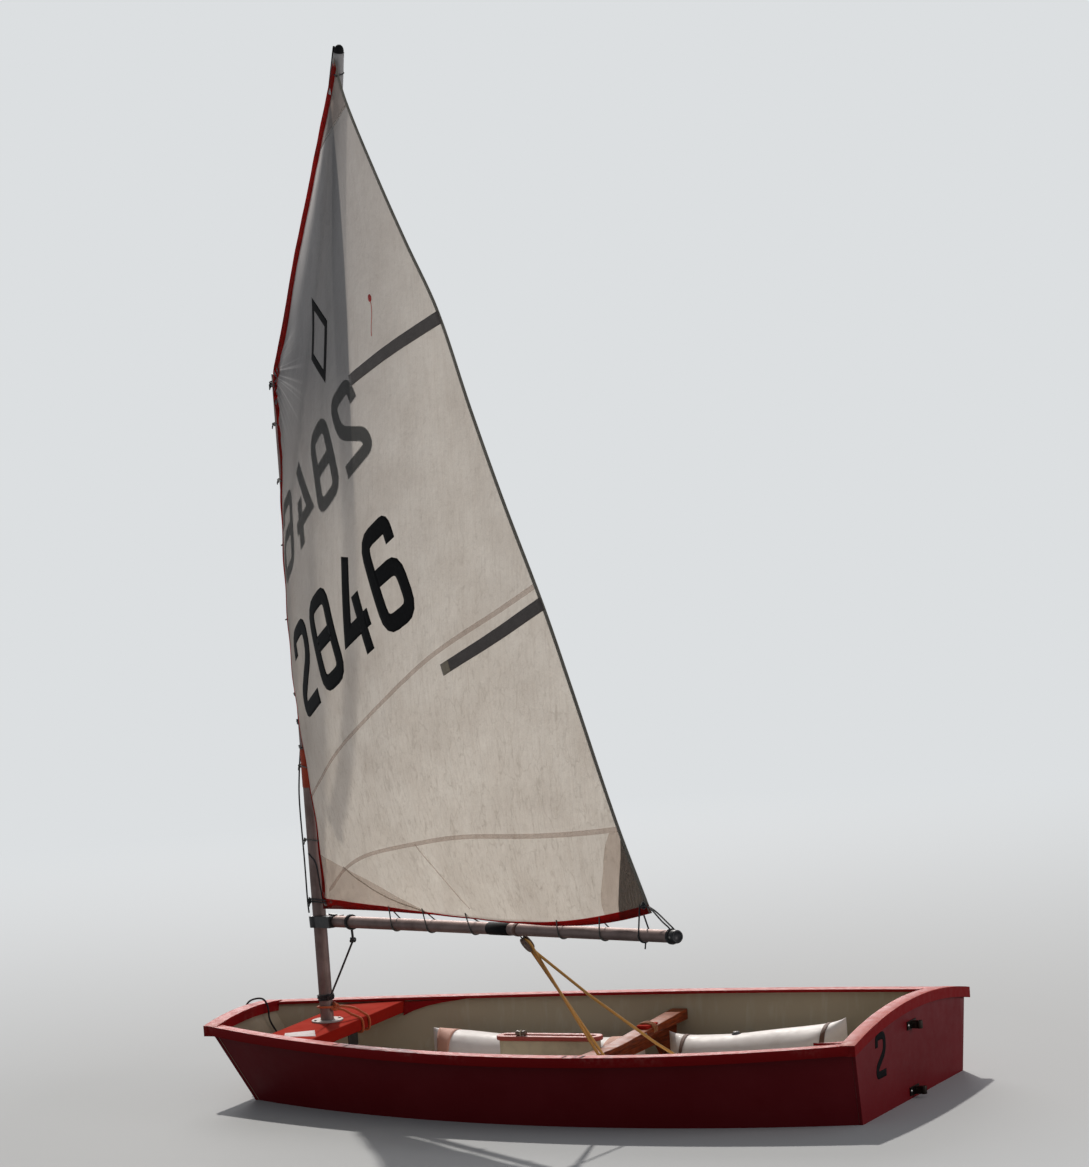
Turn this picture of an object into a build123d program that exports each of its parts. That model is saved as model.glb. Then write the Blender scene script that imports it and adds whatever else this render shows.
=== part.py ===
from build123d import *
import math
import os

# A small pram-bowed sailing dinghy with a four-sided sail held out by a sprit.
# Millimetres. +X points to the bow, +Y to port, +Z up. The origin is the centre of the
# daggerboard slot, at the height of the lowest point of the bottom.

# Hull form, measured to the outside of the planking
STERN_X = -1190.0
STERN_RAKE = 6.0
BOW_X = 1072.0
BOW_RAKE = 165.0
ROCKER_RADIUS = 5000.0
ROCKER_LOW_X = -110.0
BEAM_SHARE = 0.48
STERN_HALF_SHEER = 457.0
MID_HALF_SHEER = 540.0
BOW_HALF_SHEER = 205.0
STERN_HALF_CHINE = 412.0
MID_HALF_CHINE = 478.0
BOW_HALF_CHINE = 188.0
STERN_DEPTH = 273.0
MID_DEPTH = 358.0
BOW_DEPTH = 276.0
SIDE_THICKNESS = 6.0
BOTTOM_THICKNESS = 9.0
TRANSOM_THICKNESS = 12.0
STERN_CROWN = 52.0
BOW_CROWN = 14.0
SECTION_COUNT = 5

# Gunwale rails, the caps over the transoms and the stern knees
RAIL_PROUD = 20.0
RAIL_INWARD = 24.0
RAIL_HEIGHT = 30.0
RAIL_CAP = 9.0
CAP_ROUND = 6.0
CAP_LIP = 10.0
CAP_LIP_DROP = 24.0
CAP_INSIDE = 26.0
KNEE_LENGTH = 125.0
KNEE_THICKNESS = 8.0

# Mast thwart, collar and step
MAST_X = 767.0
THWART_AHEAD = 88.0
THWART_ASTERN = 96.0
THWART_BELOW_SHEER = 12.7
THWART_THICKNESS = 12.0
THWART_LIP_DEPTH = 38.0
THWART_LIP_THICKNESS = 8.0
THWART_MAST_HOLE = 32.0
COLLAR_FLANGE_RADIUS = 50.0
COLLAR_SLEEVE_RADIUS = 31.0
COLLAR_FLANGE = 5.0
COLLAR_DEPTH = 34.0
STEP_LENGTH = 150.0
STEP_WIDTH = 120.0
STEP_HEIGHT = 52.0
STEP_BASE = 12.0

# Daggerboard trunk
SLOT_LENGTH = 312.0
SLOT_WIDTH = 22.0
TRUNK_WALL = 14.0
TRUNK_CAP_TOP_Z = 318.0
TRUNK_CAP_THICKNESS = 14.0
TRUNK_CAP_PROUD = 8.0
TRUNK_FOOT_WIDTH = 34.0
TRUNK_FOOT_HEIGHT = 8.0

# Cross frame just aft of the trunk: a board with an arched opening each side
FRAME_X = -192.0
FRAME_THICKNESS = 12.0
FRAME_CAP_TOP_Z = 286.0
FRAME_CAP_WIDTH = 54.0
FRAME_CAP_THICKNESS = 16.0
FRAME_OPENING_INNER_Y = 60.0
FRAME_OPENING_OUTER_Y = 400.0
FRAME_OPENING_LOW_Z = 52.0
FRAME_OPENING_HIGH_Z = 222.0
FRAME_OPENING_ROUND = 60.0

# Buoyancy bags: name, fore and aft x, gap to the planking fore and aft, height of the end seams
BAGS = (
    ("bag_fore", 524.0, -150.0, 12.0, 26.0, 238.0),
    ("bag_aft", -238.0, -850.0, 33.0, 45.0, 250.0),
)
BAG_WIDTH = 186.0
BAG_HEIGHT = 214.0
BAG_SEAM_WIDTH = 14.0
BAG_SHOULDER = 0.16
BAG_LIFT = 3.0

# Rudder fittings on the stern
GUDGEON_BORE_RADIUS = 4.1
GUDGEON_BOSS_RADIUS = 9.0
GUDGEON_BOSS_LENGTH = 24.0
GUDGEON_REACH = 28.0
GUDGEON_ARM_WIDTH = 12.0
GUDGEON_PLATE_WIDTH = 70.0
GUDGEON_PLATE_HEIGHT = 26.0
GUDGEON_PLATE_THICKNESS = 3.0
GUDGEON_UPPER_Z = 362.0
GUDGEON_LOWER_Z = 162.0

# Bow eye for the painter
EYE_Z = 322.0
EYE_BORE_RADIUS = 8.0
EYE_WIRE_RADIUS = 4.0
EYE_BASE_RADIUS = 19.0
EYE_BASE_THICKNESS = 4.0
PAINTER_RADIUS = 3.0
PAINTER_BOARD_GAP = 13.0
# Heights and half-breadths where the painter lies down the inside of the bow board
PAINTER_DOWN = ((336.0, -110.0), (298.0, -112.0), (256.0, -113.0), (214.0, -113.0), (174.0, -114.0), (142.0, -118.0))
COIL_X = 812.0
COIL_Y = -150.0
COIL_MID_RADIUS = 34.0
COIL_WIDTH = 20.0
COIL_HEIGHT = 18.0

# Rig
MAST_TOP_Z = 2399.0
MAST_RADIUS = 21.0
TUBE_WALL = 1.8
RUNNING_CLEARANCE = 1.0
PLUG_LENGTH = 45.0
PLUG_LIP = 9.0
BOOM_SWING_DEG = 32.7
BOOM_Z = 675.0
BOOM_LIFT_DEG = 4.15
BOOM_LENGTH = 2040.0
BOOM_RADIUS = 18.5
JAW_LENGTH = 104.0
JAW_DEPTH = 36.0
JAW_CHEEK = 12.0
JAW_SOCKET_WALL = 5.0
JAW_HORN = 20.0
BOOM_CAP_LENGTH = 30.0
BOOM_CAP_PROUD = 3.5
SPRIT_HEEL_BELOW_MAST_TOP = 1166.0
SPRIT_TIP_ABOVE_PEAK = 34.0
SPRIT_RADIUS = 14.0
SPRIT_CAP_LENGTH = 42.0
SPRIT_CAP_PROUD = 3.0
SPRIT_OFFSET = 40.0

# Sail, cut with four corners
SAIL_GAUGE = 3.0
SAIL_MAST_GAP = 15.0
TACK_ABOVE_BOOM = 42.0
CLEW_ABOVE_BOOM = 66.0
CLEW_REACH = 1915.0
THROAT_BELOW_MAST_TOP = 21.0
THROAT_Z = MAST_TOP_Z - THROAT_BELOW_MAST_TOP
PEAK_REACH = 729.0
PEAK_ABOVE_MAST_TOP = 969.0
PEAK_Z = MAST_TOP_Z + PEAK_ABOVE_MAST_TOP
PEAK_SWING_DEG = 43.4
SAIL_DRAFT = 0.085
FOOT_SAG = 40.0
FOOT_SAG_SHIFT = 2.4
FOOT_HELD = 0.75
SAIL_ROWS = 15
SAIL_COLUMNS = 9
# Where the luff lies round the mast, in degrees turned to port from aft, by share up the luff
LUFF_TURN = ((0.0, 32.7), (0.15, 42.0), (0.3, 76.0), (0.45, 108.0), (0.6, 112.0), (0.75, 98.0), (0.88, 76.0), (1.0, 86.0))
# How far the leech stands outside the straight line from clew to peak, by share up the leech
LEECH_OUT = ((0.0, 0.0), (0.1, -6.0), (0.256, 22.0), (0.349, 36.0), (0.477, 32.0), (0.583, 42.0),
             (0.70, 66.0), (0.78, 28.0), (0.86, -4.0), (0.95, -26.0), (1.0, 0.0))

# Battens: shares across and up the sail at the leech end and at the inner end, width
BATTENS = (
    ("batten_lower", 0.985, 0.353, 0.690, 0.3245, 40.0),
    ("batten_upper", 0.985, 0.691, 0.610, 0.732, 40.0),
)
BATTEN_GAUGE = 2.0
BATTEN_GAP = 0.4

# Mainsheet blocks
BLOCK_RADIUS = 21.0
BLOCK_CHEEK = 4.0
BLOCK_THROAT = 11.0
BLOCK_SHEAVE_RADIUS = 15.0
BLOCK_PIN_RADIUS = 4.0
BLOCK_PIN_PROUD = 1.0
BLOCK_GROOVE = 4.0
BLOCK_NECK_RADIUS = 4.5
BLOCK_HEAD_GAP = 2.0
FLOOR_BLOCK_X = -290.0
FLOOR_BLOCK_LIFT = 34.0
FLOOR_PAD_RADIUS = 26.0
FLOOR_PAD_THICKNESS = 6.0
FLOOR_POST_RADIUS = 6.0
BOOM_BLOCK_REACH = 1180.0
BOOM_BLOCK_DROP = 62.0
BOOM_STROP_WIDTH = 20.0
BOOM_STROP_GAUGE = 2.5

SIDES = {"port": 1, "starboard": -1}


def through_three(first, middle, last, share):
    """A quadratic in 0 to 1 that is first at 0, middle at BEAM_SHARE and last at 1."""
    curve = ((middle - first) / BEAM_SHARE - (last - first)) / (BEAM_SHARE - 1)
    slope = last - first - curve
    return first + slope * share + curve * share * share


def rocker_z(x):
    """Height of the outside of the bottom, an arc of ROCKER_RADIUS."""
    return (x - ROCKER_LOW_X) ** 2 / (2 * ROCKER_RADIUS)


def floor_z(x):
    """Height of the inside of the bottom."""
    return rocker_z(x) + BOTTOM_THICKNESS


def station(share):
    """Outside corner points of the port side at a share of the length, 0 stern and 1 bow."""
    sheer_x = STERN_X + share * (BOW_X - STERN_X)
    chine_x = STERN_X + STERN_RAKE + share * (BOW_X - BOW_RAKE - STERN_X - STERN_RAKE)
    chine = Vector(chine_x, through_three(STERN_HALF_CHINE, MID_HALF_CHINE, BOW_HALF_CHINE, share), rocker_z(chine_x))
    depth = through_three(STERN_DEPTH, MID_DEPTH, BOW_DEPTH, share)
    sheer = Vector(sheer_x, through_three(STERN_HALF_SHEER, MID_HALF_SHEER, BOW_HALF_SHEER, share), rocker_z(chine_x) + depth)
    return chine, sheer


def sheer_at(x):
    """The sheer point of the port side at an x."""
    return station((x - STERN_X) / (BOW_X - STERN_X))[1]


def side_half(x, z):
    """Half-breadth to the outside of the planking at an x and a height."""
    low = station((x - STERN_X - STERN_RAKE) / (BOW_X - BOW_RAKE - STERN_X - STERN_RAKE))[0]
    high = sheer_at(x)
    return low.Y + (high.Y - low.Y) * (z - low.Z) / (high.Z - low.Z)


def side_point(share, up, inset=0.0):
    """A point on the port side: up is 0 at the chine and 1 at the sheer, inset is inwards."""
    chine, sheer = station(share)
    point = chine + (sheer - chine) * up
    return Vector(point.X, point.Y - inset, point.Z)


def mirrored_quad(low, high):
    """A wire through a low and a high point and their images across the centreline."""
    corners = [low, high, Vector(high.X, -high.Y, high.Z), Vector(low.X, -low.Y, low.Z)]
    return Wire.make_polygon(corners, close=True)


def shares(first=0.0, last=1.0):
    return [first + (last - first) * i / (SECTION_COUNT - 1) for i in range(SECTION_COUNT)]


def top_up(share):
    """Share of the way up the side at which the planking stops, under the rail's cap."""
    chine, sheer = station(share)
    return 1 - RAIL_CAP / (sheer.Z - chine.Z)


def outer_form(first=0.0, last=1.0):
    """The solid inside the planking's outer faces."""
    return Solid.make_loft([mirrored_quad(side_point(s, 0), side_point(s, top_up(s))) for s in shares(first, last)])


def inner_form(inset=SIDE_THICKNESS):
    """A solid whose sides lie inset from the outside, open above and below the hull."""
    return Solid.make_loft([mirrored_quad(side_point(s, -0.1, inset), side_point(s, 1.3, inset)) for s in shares(-0.02, 1.02)])


def above_floor():
    """Everything above the inside of the bottom."""
    wide = MID_HALF_SHEER * 1.4
    wires = []
    for s in shares(-0.02, 1.02):
        low, high = side_point(s, 0), side_point(s, 1.3)
        wires.append(mirrored_quad(Vector(low.X, wide, low.Z + BOTTOM_THICKNESS), Vector(high.X, wide, high.Z)))
    return Solid.make_loft(wires)


def box_between(x0, x1, y0, y1, z0, z1):
    return Solid.make_box(x1 - x0, y1 - y0, z1 - z0).moved(Location((x0, y0, z0)))


def upright(radius, low, high, x, y):
    return Solid.make_cylinder(radius, high - low).moved(Location((x, y, low)))


def rod(start, end, radius):
    """A round bar between two points."""
    way = end - start
    return Solid.make_cylinder(radius, way.length, Plane(origin=start, z_dir=way.normalized()))


def largest(shape):
    """The main solid of a cut, without slivers."""
    return shape.solids().sort_by(SortBy.VOLUME)[-1]


def hull_panels():
    """Bottom and two sides, cut from one outer form so that they meet face to face."""
    outer, inside = outer_form(), above_floor()
    bottom = outer - inside
    sides = (outer & inside) - inner_form()
    return {
        "bottom_panel": largest(bottom),
        "side_panel_port": [s for s in sides.solids() if s.center().Y > 0][0],
        "side_panel_starboard": [s for s in sides.solids() if s.center().Y < 0][0],
    }


def transom(share, crown, outward):
    """A flat board across one end, as deep as the hull there, with its top edge crowned."""
    chine = station(share)[0]
    top = side_point(share, top_up(share))
    rise = (top - chine) * (crown / (top - chine).Z)
    port, middle = top, Vector(top.X + rise.X, 0, top.Z + rise.Z)
    starboard, low = Vector(top.X, -top.Y, top.Z), Vector(chine.X, -chine.Y, chine.Z)
    edge = Wire([
        Edge.make_line(low, chine), Edge.make_line(chine, port),
        Edge.make_three_point_arc(port, middle, starboard), Edge.make_line(starboard, low)])
    face = Face(edge)
    way = face.normal_at()
    if way.X * outward < 0:
        way = way * -1
    return Solid.extrude(face, way * TRANSOM_THICKNESS)


def gunwale(side):
    """A rail along one side: a cap over the planking's edge and a strake outside it."""
    wires = []
    for s in shares():
        sheer = station(s)[1]
        inner, outer = side * (sheer.Y - RAIL_INWARD), side * (sheer.Y + RAIL_PROUD)
        low, high = sheer.Z - RAIL_HEIGHT, sheer.Z
        wires.append(Wire.make_polygon([
            Vector(sheer.X, inner, low), Vector(sheer.X, outer, low),
            Vector(sheer.X, outer, high), Vector(sheer.X, inner, high)], close=True))
    return Solid.make_loft(wires)


def crowned_slab(share, crown, above, below, x0, x1, half):
    """A slab along X whose top and bottom follow the transom's crown, above and below it."""
    top = side_point(share, top_up(share))
    def arc(offset):
        return Edge.make_three_point_arc(
            Vector(x0, half, top.Z + offset), Vector(x0, 0, top.Z + crown + offset), Vector(x0, -half, top.Z + offset))
    high, low = arc(above), arc(-below)
    sides = [Edge.make_line(high @ 1, low @ 1), Edge.make_line(low @ 0, high @ 0)]
    return Solid.extrude(Face(Wire([high, sides[0], low, sides[1]])), Vector(x1 - x0, 0, 0))


def end_cap(share, crown, outward, neighbours):
    """The rim over a transom: a rounded cap with a lip down its outer face."""
    top = side_point(share, top_up(share))
    half = station(share)[1].Y + RAIL_PROUD
    outer = top.X + outward * (TRANSOM_THICKNESS + CAP_LIP)
    inner = top.X - outward * CAP_INSIDE
    cap = crowned_slab(share, crown, RAIL_CAP, 0, min(outer, inner), max(outer, inner), half)
    lip_inner = top.X - outward * (TRANSOM_THICKNESS + CAP_LIP)
    lip = crowned_slab(share, crown, RAIL_CAP, CAP_LIP_DROP, min(outer, lip_inner), max(outer, lip_inner), half)
    piece = cap + lip
    for other in neighbours:
        piece = piece - other
    return largest(piece)


def knee(side, neighbours):
    """A flat corner bracket between a rail and the stern cap, with a hollowed inner edge."""
    corner = station(0)[1]
    low = corner.Z - KNEE_THICKNESS
    a = Vector(STERN_X + KNEE_LENGTH, side * (corner.Y - RAIL_INWARD + 6), low)
    b = Vector(STERN_X, side * (corner.Y - RAIL_INWARD + 6), low)
    c = Vector(STERN_X, side * (corner.Y - KNEE_LENGTH), low)
    hollow = Vector(STERN_X + KNEE_LENGTH * 0.30, side * (corner.Y - RAIL_INWARD - KNEE_LENGTH * 0.24), low)
    edge = Wire([Edge.make_line(a, b), Edge.make_line(b, c), Edge.make_three_point_arc(c, hollow, a)])
    piece = Solid.extrude(Face(edge), Vector(0, 0, KNEE_THICKNESS))
    for other in neighbours:
        piece = piece - other
    return largest(piece)


def thwart_top_z():
    return sheer_at(MAST_X).Z - THWART_BELOW_SHEER


def mast_thwart(between):
    """The thwart: a board between the sides with a turned-down lip along each long edge."""
    x0, x1 = MAST_X - THWART_ASTERN, MAST_X + THWART_AHEAD
    wide, top = MID_HALF_SHEER, thwart_top_z()
    board = box_between(x0, x1, -wide, wide, top - THWART_THICKNESS, top)
    for edge in (x0, x1 - THWART_LIP_THICKNESS):
        board += box_between(edge, edge + THWART_LIP_THICKNESS, -wide, wide, top - THWART_LIP_DEPTH, top)
    board = board & between
    return largest(board - upright(THWART_MAST_HOLE, 0, top + 1, MAST_X, 0))


def mast_collar():
    """A flanged sleeve through the thwart, bored to let the mast turn."""
    top = thwart_top_z()
    flange = upright(COLLAR_FLANGE_RADIUS, top, top + COLLAR_FLANGE, MAST_X, 0)
    sleeve = upright(COLLAR_SLEEVE_RADIUS, top - COLLAR_DEPTH, top, MAST_X, 0)
    bore = upright(MAST_RADIUS + RUNNING_CLEARANCE, 0, top + COLLAR_FLANGE + 1, MAST_X, 0)
    return largest(flange + sleeve - bore)


def mast_foot_z():
    return floor_z(MAST_X + STEP_LENGTH / 2) + STEP_BASE + RUNNING_CLEARANCE


def mast_step(floor):
    """A tapered block on the floor with the socket in which the mast's foot turns."""
    base_z = floor_z(MAST_X - STEP_LENGTH / 2)
    top_z = floor_z(MAST_X) + STEP_HEIGHT
    low = Wire.make_rect(STEP_LENGTH, STEP_WIDTH, Plane(origin=(MAST_X, 0, base_z - 2)))
    high = Wire.make_rect(STEP_LENGTH * 0.62, STEP_WIDTH * 0.62, Plane(origin=(MAST_X, 0, top_z)))
    block = Solid.make_loft([low, high], ruled=True)
    block = block - floor
    socket = upright(MAST_RADIUS + RUNNING_CLEARANCE, mast_foot_z() - RUNNING_CLEARANCE, top_z + 1, MAST_X, 0)
    return largest(block - socket)


def slot_cutter(margin=0.0):
    """The daggerboard slot, round at both ends."""
    half, radius = SLOT_LENGTH / 2 + margin, SLOT_WIDTH / 2 + margin
    body = box_between(-half + radius, half - radius, -radius, radius, -50, TRUNK_CAP_TOP_Z + 50)
    for x in (-half + radius, half - radius):
        body += upright(radius, -50, TRUNK_CAP_TOP_Z + 50, x, 0)
    return body


def trunk_between(margin, low, high):
    wide = MID_HALF_SHEER
    return slot_cutter(margin) & box_between(-wide, wide, -wide, wide, low, high)


def daggerboard_trunk(floor):
    """A hollow case open from the slot in the bottom to its cap, with a foot on the floor."""
    case = trunk_between(TRUNK_WALL, 0, TRUNK_CAP_TOP_Z - TRUNK_CAP_THICKNESS)
    foot = trunk_between(TRUNK_FOOT_WIDTH, 0, floor_z(SLOT_LENGTH / 2) + TRUNK_FOOT_HEIGHT)
    return largest(case + foot - floor - slot_cutter())


def trunk_cap():
    cap = trunk_between(TRUNK_WALL + TRUNK_CAP_PROUD, TRUNK_CAP_TOP_Z - TRUNK_CAP_THICKNESS, TRUNK_CAP_TOP_Z)
    return largest(cap - slot_cutter())


def cross_frame(between, floor, trunk):
    """A board from side to side with a rounded opening on each side of the centre."""
    wide = MID_HALF_SHEER
    x0, x1 = FRAME_X - FRAME_THICKNESS / 2, FRAME_X + FRAME_THICKNESS / 2
    board = box_between(x0, x1, -wide, wide, 0, FRAME_CAP_TOP_Z - FRAME_CAP_THICKNESS) & between
    for side in SIDES.values():
        middle = (FRAME_OPENING_INNER_Y + FRAME_OPENING_OUTER_Y) / 2
        width, height = FRAME_OPENING_OUTER_Y - FRAME_OPENING_INNER_Y, FRAME_OPENING_HIGH_Z - FRAME_OPENING_LOW_Z
        plane = Plane(origin=(x0 - 20, side * middle, (FRAME_OPENING_LOW_Z + FRAME_OPENING_HIGH_Z) / 2), x_dir=(0, 1, 0), z_dir=(1, 0, 0))
        opening = plane * RectangleRounded(width, height, FRAME_OPENING_ROUND)
        board = board - extrude(opening, amount=FRAME_THICKNESS + 40)
    return largest(board - floor - trunk)


def cross_frame_cap(between, trunk_cap_piece, trunk):
    wide = MID_HALF_SHEER
    x1 = FRAME_X + FRAME_THICKNESS / 2 + 4
    cap = box_between(x1 - FRAME_CAP_WIDTH, x1, -wide, wide, FRAME_CAP_TOP_Z - FRAME_CAP_THICKNESS, FRAME_CAP_TOP_Z) & between
    return largest(cap - trunk_cap_piece - trunk)


def bag_axis_y(x, gap):
    """Half-breadth to a bag's axis where it lies a gap inside the planking."""
    return side_half(x, floor_z(x) + BAG_HEIGHT / 2) - SIDE_THICKNESS - BAG_WIDTH / 2 - gap


def buoyancy_bag(side, fore_x, aft_x, fore_gap, aft_gap, seam_height):
    """A welded tube of film: flat upright seams at its ends, round between them."""
    fore_y, aft_y = bag_axis_y(fore_x, fore_gap), bag_axis_y(aft_x, aft_gap)
    sections = []
    for share in (0.0, BAG_SHOULDER, 0.5, 1 - BAG_SHOULDER, 1.0):
        end = abs(share - 0.5) == 0.5
        x = aft_x + share * (fore_x - aft_x)
        y = side * (aft_y + share * (fore_y - aft_y))
        height = seam_height if end else BAG_HEIGHT
        width = BAG_SEAM_WIDTH if end else BAG_WIDTH
        low = max(floor_z(x), floor_z(x + 60), floor_z(x - 60)) + BAG_LIFT
        plane = Plane(origin=(x, y, low + height / 2), x_dir=(0, 1, 0), z_dir=(1, 0, 0))
        sections.append(Wire.make_ellipse(width / 2, height / 2, plane))
    return Solid.make_loft(sections)


def gudgeon(z):
    """A plate on the stern with a bored boss standing off it for the rudder's pintle."""
    chine, sheer = station(0)
    lean = (sheer.X - chine.X) / (sheer.Z - chine.Z)
    face_x = chine.X + (z - chine.Z) * lean - TRANSOM_THICKNESS
    boss_x = STERN_X - TRANSOM_THICKNESS - GUDGEON_REACH
    half, low, high = GUDGEON_PLATE_WIDTH / 2, z - GUDGEON_BOSS_LENGTH / 2, z + GUDGEON_BOSS_LENGTH / 2
    plate = box_between(face_x - GUDGEON_PLATE_THICKNESS - 1, face_x + 3, -half, half, z - GUDGEON_PLATE_HEIGHT / 2, z + GUDGEON_PLATE_HEIGHT / 2)
    arm = box_between(boss_x, face_x, -GUDGEON_ARM_WIDTH / 2, GUDGEON_ARM_WIDTH / 2, low, high)
    boss = upright(GUDGEON_BOSS_RADIUS, low, high, boss_x, 0)
    return plate + arm + boss - upright(GUDGEON_BORE_RADIUS, low - 1, high + 1, boss_x, 0)


def bow_board(z):
    """The x of the bow board's inner face at a height, and the direction out of it, forward and down."""
    chine, sheer = station(1)
    up = Vector(sheer.X - chine.X, 0, sheer.Z - chine.Z).normalized()
    return chine.X + (z - chine.Z) * up.X / up.Z, Vector(up.Z, 0, -up.X)


def bow_eye():
    """A round base with an eye standing on it, outside on the bow board, for the painter."""
    x, out = bow_board(EYE_Z)
    face = Vector(x, 0, EYE_Z) + out * TRANSOM_THICKNESS
    base = rod(face - out, face + out * EYE_BASE_THICKNESS, EYE_BASE_RADIUS)
    centre = face + out * (EYE_BASE_THICKNESS + EYE_BORE_RADIUS + EYE_WIRE_RADIUS - 1)
    ring = Solid.make_torus(EYE_BORE_RADIUS + EYE_WIRE_RADIUS, EYE_WIRE_RADIUS, Plane(origin=centre, z_dir=(0, 1, 0)))
    return base + ring, centre


def along(swing_deg):
    """The level direction of the boom or sprit: aft, turned to port by swing_deg."""
    a = math.radians(swing_deg)
    return Vector(-math.cos(a), math.sin(a), 0)


def to_port(swing_deg):
    """The level direction square to along(), on the port side."""
    a = math.radians(swing_deg)
    return Vector(math.sin(a), math.cos(a), 0)


def mast_axis(z):
    return Vector(MAST_X, 0, z)


def boom_point(reach, up=0.0, sideways=0.0):
    """A point by its reach from the mast's axis along the boom and its height above the boom's axis."""
    z = BOOM_Z + reach * math.tan(math.radians(BOOM_LIFT_DEG)) + up
    return mast_axis(z) + along(BOOM_SWING_DEG) * reach + to_port(BOOM_SWING_DEG) * sideways


def tube(start, end, radius, wall=TUBE_WALL):
    return rod(start, end, radius) - rod(start, end, radius - wall)


def boom_jaws():
    """A moulded fork round the mast, closed behind it, with a socket for the boom's end."""
    low, high = -JAW_DEPTH / 2, JAW_DEPTH / 2
    start = MAST_RADIUS + 8
    outline = MAST_RADIUS + JAW_CHEEK
    plane = Plane(origin=boom_point(0), x_dir=(boom_point(1) - boom_point(0)).normalized(), z_dir=plane_up())
    barrel = Solid.make_cylinder(outline, JAW_DEPTH, plane.offset(low))
    body = Solid.make_box(JAW_LENGTH, 2 * outline * 0.86, JAW_DEPTH, plane.offset(low)).moved(
        Location(plane.y_dir * (-outline * 0.86)))
    mouth = Solid.make_box(outline + 2, 2 * MAST_RADIUS, JAW_DEPTH + 4, plane.offset(low - 2)).moved(
        Location(plane.x_dir * (-outline - 2) + plane.y_dir * (-MAST_RADIUS)))
    mast = rod(mast_axis(0), mast_axis(2000), MAST_RADIUS)
    horn_cut = Solid.make_box(outline, 4 * outline, JAW_DEPTH + 4, plane.offset(low - 2)).moved(
        Location(plane.x_dir * (-outline - JAW_HORN) + plane.y_dir * (-2 * outline)))
    socket = rod(boom_point(start), boom_point(JAW_LENGTH + 4), BOOM_RADIUS)
    return largest(barrel + body - mouth - horn_cut - mast - socket), start


def plane_up():
    """The upward direction square to the boom."""
    way = (boom_point(1) - boom_point(0)).normalized()
    return (Vector(0, 0, 1) - way * way.Z).normalized()


def cap_over(start, way, length, radius, proud, inside=0.0):
    """A round cap over a tube's end, whose skirt covers the tube by inside."""
    end = start + way * length
    return largest(rod(start - way * inside, end, radius + proud) - rod(start - way * (inside + 1), start, radius))


def smooth_between(table, x):
    """A smooth curve through a table's rows, whose slope at a row is that between its neighbours."""
    at = [row[0] for row in table]
    value = [row[1] for row in table]
    last = len(table) - 1
    i = max(k for k in range(last) if k == 0 or at[k] <= x)

    def slope(k):
        before, after = max(k - 1, 0), min(k + 1, last)
        return (value[after] - value[before]) / (at[after] - at[before])

    span = at[i + 1] - at[i]
    t = (x - at[i]) / span
    rise = value[i + 1] - value[i]
    return (value[i] + rise * (3 * t ** 2 - 2 * t ** 3)
            + span * (slope(i) * (t ** 3 - 2 * t ** 2 + t) + slope(i + 1) * (t ** 3 - t ** 2)))


def sail_point(across, up, off=0.0):
    """A point of the sail: across is 0 at the luff and 1 at the leech, up is 0 at the foot."""
    luff_z = BOOM_Z + TACK_ABOVE_BOOM + up * (THROAT_Z - BOOM_Z - TACK_ABOVE_BOOM)
    luff = mast_axis(luff_z) + along(smooth_between(LUFF_TURN, up)) * (MAST_RADIUS + SAIL_MAST_GAP)
    clew = boom_point(CLEW_REACH, CLEW_ABOVE_BOOM)
    peak = mast_axis(PEAK_Z) + along(PEAK_SWING_DEG) * PEAK_REACH
    leech = clew + (peak - clew) * up
    chord = leech - luff
    level = Vector(chord.X, chord.Y, 0).normalized()
    leech = leech + level * smooth_between(LEECH_OUT, up)
    chord = leech - luff
    side = Vector(level.Y, -level.X, 0)
    if side.Y < 0:
        side = side * -1
    fullness = 0.35 + 0.65 * math.sin(math.pi * min(1.0, up * 0.9 + 0.12))
    fullness *= 1 - up ** 4 * 0.8
    fullness *= 1 - FOOT_HELD * (1 - up) ** 12
    belly = SAIL_DRAFT * chord.length * fullness * math.sin(math.pi * across ** 0.85)
    point = luff + chord * across + side * (belly + off)
    sag = FOOT_SAG * math.sin(math.pi * across ** FOOT_SAG_SHIFT) * (1 - up) ** 6
    return point - Vector(0, 0, sag)


def sail_patch(place, columns, rows, off, gauge):
    """Part of the sail's surface given a thickness: place turns shares along and up it to shares of the sail."""
    grid = [[sail_point(*place(i / (columns - 1), j / (rows - 1)), off) for j in range(rows)] for i in range(columns)]
    face = Face.make_surface_from_array_of_points(grid, tol=0.5, min_deg=3, max_deg=5)
    return largest(thicken(face, amount=gauge / 2, both=True))


def batten(outer_across, outer_up, inner_across, inner_up, width):
    rise = width / (sail_point(1, 1) - sail_point(1, 0)).length
    off = SAIL_GAUGE / 2 + BATTEN_GAP + BATTEN_GAUGE / 2

    def place(along_it, over):
        return inner_across + (outer_across - inner_across) * along_it, inner_up + (outer_up - inner_up) * along_it + rise * (over - 0.5)

    return sail_patch(place, 6, 3, off, BATTEN_GAUGE)


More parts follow.
